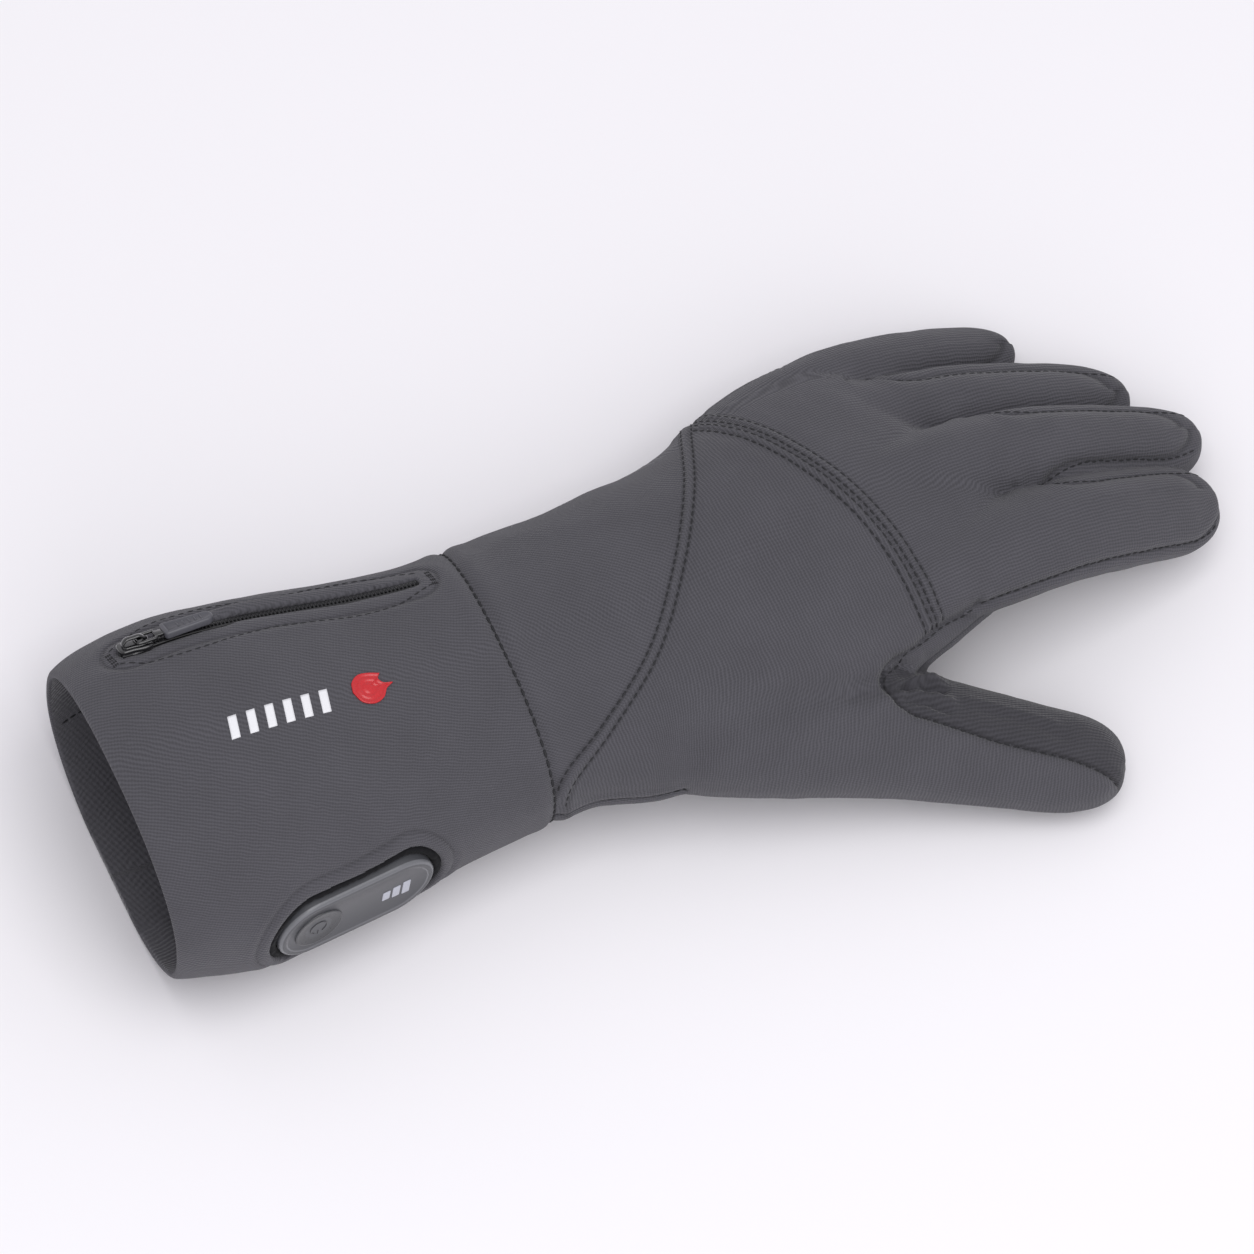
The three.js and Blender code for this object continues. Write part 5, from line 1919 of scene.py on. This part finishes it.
@dataclass
class ControlUnit:
    """The control unit in its window: mesh collar, satin shell, press zone and light bars."""

    cuff: Cuff
    bare: Skin
    layout: Layout
    length: float = 50.0
    width: float = 24.0
    depth: float = 9.0
    face: float = -0.8
    bevel: float = 1.2
    button_place: float = -12.5
    button_radius: float = 7.5
    light_place: float = 9.3
    light_pitch: float = 3.2
    light_width: float = 2.4
    light_heights: tuple[float, ...] = (4.0, 5.0, 6.0)

    def shell(self) -> None:
        """Moulded shell with a dish for the press zone."""
        outline = stadium_points(np.linspace(0, 1, 96, endpoint=False), self.length, self.width)
        bm = slab(outline, self.face - self.depth, self.face, self.bevel, 5)
        top = largest_face(bm)
        bmesh.ops.inset_region(bm, faces=[top], thickness=0.9, depth=0.0)
        bmesh.ops.inset_region(bm, faces=[top], thickness=0.35, depth=-0.16)
        for face in bm.faces:
            # Sloped faces take the rim finish, whose lighter colour is a painted highlight
            face.material_index = int(0.15 < face.normal.z < 0.97)
        bmesh.ops.triangulate(bm, faces=[top])
        piece = to_object(bm, "unit_shell_moulded", self.layout, self.cuff.unit_frame)
        piece.data.materials.append(Finish.ABS.material())
        piece.data.materials.append(Finish.RIM_HIGHLIGHT.material())
        finish_piece(piece, Finish.ABS, ["unit_body"])

    def button(self) -> None:
        """Dished silicone press zone with a generic power ring."""
        bm = bmesh.new()
        radii = (7.6, 7.5, 7.1, 6.6, 5.0, 2.5, 0.0)
        heights = (-0.18, 0.12, 0.22, 0.12, -0.12, -0.25, -0.3)

        def place(u: Array, v: Array) -> Array:
            """Points of the dished face."""
            row, rows = u * (len(radii) - 1), range(len(radii))
            radius, high = np.interp(row, rows, radii), np.interp(row, rows, heights)
            turn = 2 * np.pi * v
            xs = self.button_place + radius * np.cos(turn)
            return np.stack([xs, radius * np.sin(turn), self.face + high], axis=1)

        tube(bm, 4 * (len(radii) - 1) + 1, 64, place, closed=False)
        bmesh.ops.recalc_face_normals(bm, faces=bm.faces)
        if sum(face.normal.z for face in bm.faces) < 0:
            bmesh.ops.reverse_faces(bm, faces=bm.faces)
        turns = np.radians(np.linspace(-60, 240, 40))
        middle, low = self.button_place, self.face - 0.12
        ring = (middle + 2.6 * np.cos(turns), 2.6 * np.sin(turns), np.full_like(turns, low))
        sweep(bm, np.stack(ring, axis=1), 0.16, 0.22)
        bar = (Vector((middle, -3.6, low)), Vector((middle, -1.2, low)))
        capsule(bm, *bar, 0.2, Vector((0, 0, 1)))
        piece = to_object(bm, "unit_press_zone", self.layout, self.cuff.unit_frame)
        finish_piece(piece, Finish.MEMBRANE, ["unit_button"])

    def lights(self) -> None:
        """Three light bars, flush in the shell."""
        for number, height in enumerate(self.light_heights):
            place = self.light_place + number * self.light_pitch
            outline = rounded_rectangle(place, self.light_width, height, 0.35)
            bm = slab(outline, self.face - 0.5, self.face + 0.02, 0.08, 2)
            name = f"unit_light_bar_{number + 1}"
            piece = to_object(bm, name, self.layout, self.cuff.unit_frame)
            finish_piece(piece, Finish.LENS, [f"unit_light_{number + 1}"])

    def collar(self) -> None:
        """Spacer mesh that fills the window round the unit and laps under the cloth."""
        bm = bmesh.new()
        reach = np.array([0.2, 0.6, 1.2, 2.0, 2.8, 3.3, 3.8, 5.6, 7.4])
        high = np.array([-3.4, -1.2, -0.55, -0.35, -0.5, -1.1, -2.4, -2.65, -2.65])

        def place(u: Array, v: Array) -> Array:
            """Points of the mesh, laid on the cuff's plain face."""
            out = np.interp(u * 16, np.linspace(0, 16, len(reach)), reach)
            up = np.interp(u * 16, np.linspace(0, 16, len(reach)), high)
            flat = np.empty((len(u), 3))
            for step in np.unique(np.round(out, 6)):
                same = np.abs(out - step) < 1e-5
                size = (self.length + 2 * step, self.width + 2 * step)
                flat[same, :2] = stadium_points(v[same], *size)
            flat[:, 2] = up
            return self.bare.under(self.cuff.unit_frame, flat)

        tube(bm, 17, 220, place, closed=False)
        points = coordinates(bm)
        bm.normal_update()
        normals = np.array([v.normal for v in bm.verts])
        fuzz = ripples(points, (0.28, 0.9), (0.12, 2.5))
        set_coordinates(bm, points + normals * fuzz[:, None])
        out = self.cuff.unit_frame.to_3x3() @ Vector((0, 0, 1))
        if sum(face.normal.dot(out) for face in bm.faces) < 0:
            bmesh.ops.reverse_faces(bm, faces=bm.faces)
        piece = to_object(bm, "unit_collar_mesh", self.layout)
        finish_piece(piece, Finish.MESH, ["unit_collar"])

    def build(self) -> None:
        """Makes the whole unit."""
        self.shell()
        self.button()
        self.lights()
        self.collar()


@dataclass
class Prints:
    """The raised generic flame and the row of slanting bars on the back of the cuff."""

    cuff: Cuff
    skin: Skin
    layout: Layout
    mark_place: float = 76.0
    bars_place: float = 47.5
    angle: float = 91.0
    mark_length: float = 12.5
    mark_width: float = 10.0
    bar_pitch: float = 5.6
    bar_width: float = 2.6
    bar_length: float = 7.0
    slant: float = 1.6

    def flame(self) -> None:
        """A generic flame with raised ridges inside its outline, of glossy red silicone."""
        half = np.array([self.mark_length, self.mark_width]) / 2
        sides = (
            ((-1, 0), (-0.82, 0.6), (-0.35, 0.95), (0.1, 0.88), (0.62, 0.66)),
            ((0.62, 0.66), (0.42, 0.36), (0.5, 0.12), (1, -0.1)),
            ((1, -0.1), (0.6, -0.34), (0.3, -0.78), (-0.2, -1), (-0.78, -0.72), (-1, 0)),
        )
        outline = [smooth_line(np.array(side) * half, 0.45)[:-1] for side in sides]
        bm = slab(np.vstack(outline), 0.0, 0.42)
        top = largest_face(bm)
        before = 1.0
        rings = ((0.97, 0.5), (0.87, 0.5), (0.82, 0.24), (0.7, 0.24), (0.65, 0.46), (0.52, 0.46))
        for scale, high in (*rings, (0.47, 0.24), (0.34, 0.24), (0.29, 0.42), (0.12, 0.44)):
            bmesh.ops.inset_region(bm, faces=[top], thickness=0.0001, depth=0.0)
            share = scale / before
            centre = Matrix.Translation((-0.2 * half[0], 0, 0))
            shrink = centre @ Matrix.Diagonal((share, share, 1, 1)) @ centre.inverted()
            bmesh.ops.transform(bm, matrix=shrink, verts=top.verts)
            for vert in top.verts:
                vert.co.z = high
            before = scale
        bmesh.ops.triangulate(bm, faces=[top])
        matrix = self.cuff.frame(self.mark_place, self.angle, half[0], half[0])
        set_coordinates(bm, self.skin.under(matrix, coordinates(bm)))
        piece = to_object(bm, "heat_flame_raised", self.layout)
        finish_piece(piece, Finish.RED, ["heat_mark"])

    def bars(self) -> None:
        """Six slanting bars of flat white print."""
        matrix = self.cuff.frame(self.bars_place, self.angle, self.bar_pitch, self.bar_pitch)
        for number in range(6):
            bm = bmesh.new()
            made = bmesh.ops.create_grid(bm, x_segments=4, y_segments=9, size=0.5)["verts"]
            middle = (number - 2.5) * self.bar_pitch
            for vert in made:
                across = vert.co.y
                vert.co = (
                    middle + vert.co.x * self.bar_width + across * self.slant,
                    across * self.bar_length, 0.28,
                )
            lowered = bmesh.ops.extrude_face_region(bm, geom=bm.faces[:])["geom"]
            verts = [item for item in lowered if isinstance(item, BMVert)]
            bmesh.ops.translate(bm, verts=verts, vec=(0, 0, -0.4))
            bmesh.ops.recalc_face_normals(bm, faces=bm.faces)
            set_coordinates(bm, self.skin.under(matrix, coordinates(bm)))
            piece = to_object(bm, f"print_bar_white_{number + 1}", self.layout)
            finish_piece(piece, Finish.WHITE, [f"print_bar_{number + 1}"])

    def build(self) -> None:
        """Makes all prints."""
        self.flame()
        self.bars()


@dataclass
class Stitching:
    """All sewn rows, each stitch a short strand that lies half in the cloth."""

    hand: Hand
    cuff: Cuff
    hand_skin: Skin
    cuff_skin: Skin
    layout: Layout
    pitch: float = 2.7
    length: float = 1.75
    radius: float = 0.3

    def row(
        self, bm: BMesh, points: Array, normals: Array, pitch: float | None = None,
        radius: float | None = None, sink: float = 0.05,
    ) -> None:
        """Lays stitches along points of the cloth.

        Args:
            bm: Mesh that takes them.
            points: Close points of the row.
            normals: Directions outwards there.
            pitch: From one stitch to the next.
            radius: Half a strand's thickness.
            sink: How deep the strand's middle lies.
        """
        if len(points) < 3:
            return
        pitch, radius = pitch or self.pitch, radius or self.radius
        way = way_along(points)
        reach = self.length * pitch / self.pitch
        for start in np.arange(0.2, way[-1] - reach, pitch):
            ends = []
            for place in (start, start + reach):
                ends.append(Vector([np.interp(place, way, points[:, axis]) for axis in range(3)]))
            at = int(np.searchsorted(way, start + reach / 2))
            out = Vector(normals[min(at, len(normals) - 1)])
            if (ends[1] - ends[0]).length < 0.4 * reach:
                continue
            capsule(bm, ends[0] - out * sink, ends[1] - out * sink, radius, out)

    def offset(self, line: Array, away: float) -> Array:
        """A plan line moved to its left."""
        along = unit(np.gradient(line, axis=0))
        return line + away * np.stack([-along[:, 1], along[:, 0]], axis=1)

    def plan_row(self, bm: BMesh, line: Array, keep: Callable | None = None) -> None:
        """Lays a row under a plan line, on the hand.

        Args:
            bm: Mesh that takes it.
            line: Points in plan.
            keep: Tells which points of the cloth take stitches.
        """
        points, normals = self.hand_skin.below(line)
        if keep is not None and len(points):
            kept = keep(points)
            points, normals = points[kept], normals[kept]
        self.row(bm, points, normals)

    def seams(self, bm: BMesh) -> None:
        """Rows over the back of the hand."""
        hand = self.hand
        wrist = hand.seam_line(WRIST_SEAM)
        knuckle = hand.seam_line(KNUCKLE_SEAM)
        thumb = smooth_line(hand.thumb_seam, 2.0)
        for away in hand.wrist_rows:
            line = resample(self.offset(wrist, away), 0.6)
            self.plan_row(bm, line, lambda p: (p[:, 0] > CUFF_LENGTH + 0.6) & self.top_side(p))
        for away in hand.knuckle_rows:
            line = resample(self.offset(knuckle, away), 0.6)
            self.plan_row(bm, line, lambda p: self.past_wrist(p, wrist, thumb))

    def past_wrist(self, points: Array, wrist: Array, thumb: Array) -> Array:
        """Which points lie on the back of the hand, past the wrist seam and off the thumb.

        Args:
            points: Points of the cloth.
            wrist: The wrist seam in plan.
            thumb: The thumb's seam in plan.

        Returns:
            True for each such point.
        """
        ahead = (line_distance(points, wrist) > 1.6) & (points[:, 1] > self.hand.knuckle_end)
        return ahead & (line_distance(points, thumb) > 0.0) & self.top_side(points)

    def top_side(self, points: Array) -> Array:
        """Which points lie over the palm's side seams."""
        section = self.hand.form.trunk.section(points[:, 0])
        trunk = points[:, 2] - section[1] > self.hand.palm_level * section[3] - 6
        return trunk & (points[:, 2] > 16.0)

    def cuff_rows(self, bm: BMesh) -> None:
        """The seam at the cuff's end, the topstitch and bar tacks of the zip, and the lining's
        seam.
        """
        turns = np.linspace(0.0, 360.0, 700)
        ring = self.cuff.form.trunk.points(np.full_like(turns, CUFF_LENGTH - 0.05), turns)
        ring, normals = self.cuff_skin.nearest(on_floor(ring))
        self.row(bm, ring, normals, pitch=3.0, radius=0.42, sink=-0.1)
        half, away = self.cuff.slot[0] / 2, self.cuff.topstitch + self.cuff.slot[1] / 2
        for side, bow in ((-1, 0.0), (1, 0.4)):
            ends = ((-half - 1.5, side * 3.8), (half + 2.5, side * 3.4))
            run = ((-half + 5, side * away), (0, side * away + bow), (half - 9, side * away))
            self.flat_row(bm, smooth_line((ends[0], *run, ends[1]), 0.5), 2.7)
        for end in (-half - 2.2, half + 2.8):
            for shift in (-0.55, 0.0, 0.55):
                tack = np.array([(end + shift, y) for y in np.linspace(-4.0, 4.0, 24)])
                self.flat_row(bm, tack, 1.5)
        # The lining's long seam, seen through the hem
        x, turn = np.linspace(3.0, 60.0, 120), np.full(120, 334.0)
        inner, middle = (self.cuff.form.trunk.points(x, turn, deep) for deep in (-2.1, -12.0))
        self.row(bm, inner, unit(middle - inner), sink=-0.1)

    def flat_row(self, bm: BMesh, line: Array, pitch: float) -> None:
        """Lays a row along a line of the zip's plane.

        Args:
            bm: Mesh that takes it.
            line: Points in the plane.
            pitch: From one stitch to the next.
        """
        flat = np.column_stack([line, np.zeros(len(line))])
        points = self.cuff_skin.under(self.cuff.zip_frame, flat)
        points, normals = self.cuff_skin.nearest(points)
        self.row(bm, points, normals, pitch=pitch, radius=0.27)

    def digit_rows(self, bm: BMesh) -> None:
        """Rows along the sewn edges of the fingers and thumb."""
        for digit in self.hand.form.digits:
            if digit.name == "web":
                continue
            starts = self.hand.edge_starts.get(digit.name, (0.0, 0.0))
            for left, place in ((False, starts[0]), (True, starts[1])):
                if digit.name == "thumb" and left:
                    continue
                start = (place + 0.5 - digit.start[0]) / digit.reach if place else 0.3
                if digit.name == "index" and not left:
                    start = (self.hand.web_end + 0.8 - digit.start[0]) / digit.reach
                t = np.linspace(start, 0.97, 200)
                x = digit.start[0] + t * digit.reach * digit.along[0]
                level = self.hand.edge_level(digit.name, x, np.full(len(t), left))
                angle = np.degrees(np.arcsin(np.clip(level, -0.99, 0.99)))
                points = on_floor(digit.points(t, angle if left else 180 - angle))
                points, normals = self.hand_skin.nearest(points)
                self.row(bm, points, normals, radius=0.26, sink=0.0)

    def palm_rows(self, bm: BMesh) -> None:
        """Rows along the two side seams of the palm, from the cuff to the digits."""
        dip = math.degrees(math.asin(abs(self.hand.palm_level) ** (1 / SQUARENESS)))
        for degrees, end in ((-dip, 228.0), (180 + dip, 152.0)):
            x = np.linspace(CUFF_LENGTH + 1, end, 300)
            points = self.hand.form.trunk.points(x, np.full(len(x), degrees))
            points, normals = self.hand_skin.nearest(points)
            self.row(bm, points, normals, radius=0.26, sink=0.0)

    def thumb_rows(self, bm: BMesh) -> None:
        """The row along the thumb's ribbed panel."""
        line = resample(smooth_line(self.hand.thumb_seam, 1.0), 0.6)
        line = line[line[:, 0] < 268]
        points, normals = self.hand_skin.below(line)
        self.row(bm, points, normals, radius=0.27)

    def build(self) -> None:
        """Makes all rows as two pieces."""
        bm = bmesh.new()
        self.seams(bm)
        self.digit_rows(bm)
        self.thumb_rows(bm)
        self.palm_rows(bm)
        piece = to_object(bm, "hand_stitches", self.layout)
        finish_piece(piece, Finish.THREAD)
        bm = bmesh.new()
        self.cuff_rows(bm)
        piece = to_object(bm, "cuff_stitches", self.layout)
        finish_piece(piece, Finish.THREAD)


def resample(line: Array, step: float) -> Array:
    """Points at even steps along a polyline."""
    way = way_along(line)
    at = np.arange(0.0, way[-1], step)
    return np.stack([np.interp(at, way, column) for column in line.T], axis=1)


@dataclass
class Stage:
    """Pale floor, soft studio lights and the camera at the photograph's angle."""

    layout: Layout
    distance: float = 14.0
    pixel: float = 0.275  # mm on the glove for one pixel of the frame
    frame_pixels: float = 1254.0
    corner: Pair = (112.0, 817.0)  # pixel of the point over the hem's middle
    corner_height: float = 35.0

    def camera(self) -> None:
        """Sets the camera."""
        first = Vector((0.9708, -0.1056, 0.2156)).normalized()
        second = Vector((0.0, 0.898, 0.440)).normalized()
        roll = math.radians(19.3)
        right = math.cos(roll) * first - math.sin(roll) * second
        up = math.sin(roll) * first + math.cos(roll) * second
        back = right.cross(up)
        across = (self.frame_pixels / 2 - self.corner[0]) * self.pixel
        rise = (self.corner[1] - self.frame_pixels / 2) * self.pixel
        aim = Vector((0, 0, self.corner_height)) + across * right + rise * up
        aim = self.layout.matrix @ aim
        data = bpy.data.cameras.new("camera")
        data.sensor_width = 36.0
        data.lens = data.sensor_width * self.distance / (self.frame_pixels * self.pixel * MM)
        data.clip_end = 40.0
        camera = bpy.data.objects.new("camera", data)
        bpy.context.scene.collection.objects.link(camera)
        camera.matrix_world = axes(aim + back * self.distance, right, up, back)
        bpy.context.scene.camera = camera

    def light(self, name: str, place: Vector, size: float, power: float) -> None:
        """Adds a square soft light that looks at the glove.

        Args:
            name: Its name.
            place: Where it stands.
            size: Its side in metres.
            power: Its power in watts.
        """
        data = bpy.data.lights.new(name, "AREA")
        data.size = size
        data.energy = power
        lamp = bpy.data.objects.new(name, data)
        lamp.location = place
        lamp.visible_camera = False
        lamp.rotation_mode = "QUATERNION"
        lamp.rotation_quaternion = (-place).to_track_quat("-Z", "Y")
        bpy.context.scene.collection.objects.link(lamp)

    def build(self) -> None:
        """Makes the floor, lights, world and camera."""
        floor = bmesh.new()
        bmesh.ops.create_grid(floor, x_segments=1, y_segments=1, size=6.0)
        ground = to_object(floor, "floor")
        material, shader = new_material("studio_paper_matt")
        shader.inputs["Base Color"].default_value = linear("F1EFF2")
        shader.inputs["Roughness"].default_value = 1.0
        shader.inputs["Specular IOR Level"].default_value = 0.0
        ground.data.materials.append(material)
        ground.location.z = -0.0005
        self.light("key", Vector((0.05, -0.35, 1.65)), 1.2, 11.0)
        self.light("fill", Vector((-0.3, -1.3, 1.1)), 1.5, 7.5)
        world = bpy.data.worlds.new("studio")
        world.use_nodes = True
        background = world.node_tree.nodes["Background"]
        background.inputs["Color"].default_value = linear("F4F3F8")
        background.inputs["Strength"].default_value = 0.72
        bpy.context.scene.world = world
        bpy.context.scene.view_settings.view_transform = "Standard"
        self.camera()


def main() -> None:
    """Builds the glove's pieces in order, then the stage."""
    logging.basicConfig(level=logging.INFO, format="%(message)s")
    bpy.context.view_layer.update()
    layout = Layout.from_frame()
    log.info("layout %.3f %.3f", layout.x, layout.y)
    form = Form()
    hand = Hand(form)
    skin = hand.build()
    hand_skin = Skin(skin)
    Panels(hand, layout).build(skin)
    skin.free()
    cuff = Cuff(form)
    plain = bmesh.new()
    tube(plain, 60, 200, lambda u, v: form.trunk.points(u * CUFF_LENGTH, 360 * v), closed=False)
    bare = Skin(plain)
    plain.free()
    cuff_skin = cuff.build(layout)
    ZipFastener(cuff, bare, layout).build()
    ControlUnit(cuff, bare, layout).build()
    Prints(cuff, cuff_skin, layout).build()
    Stitching(hand, cuff, hand_skin, cuff_skin, layout).build()
    Stage(layout).build()


if __name__ == "__main__":
    main()
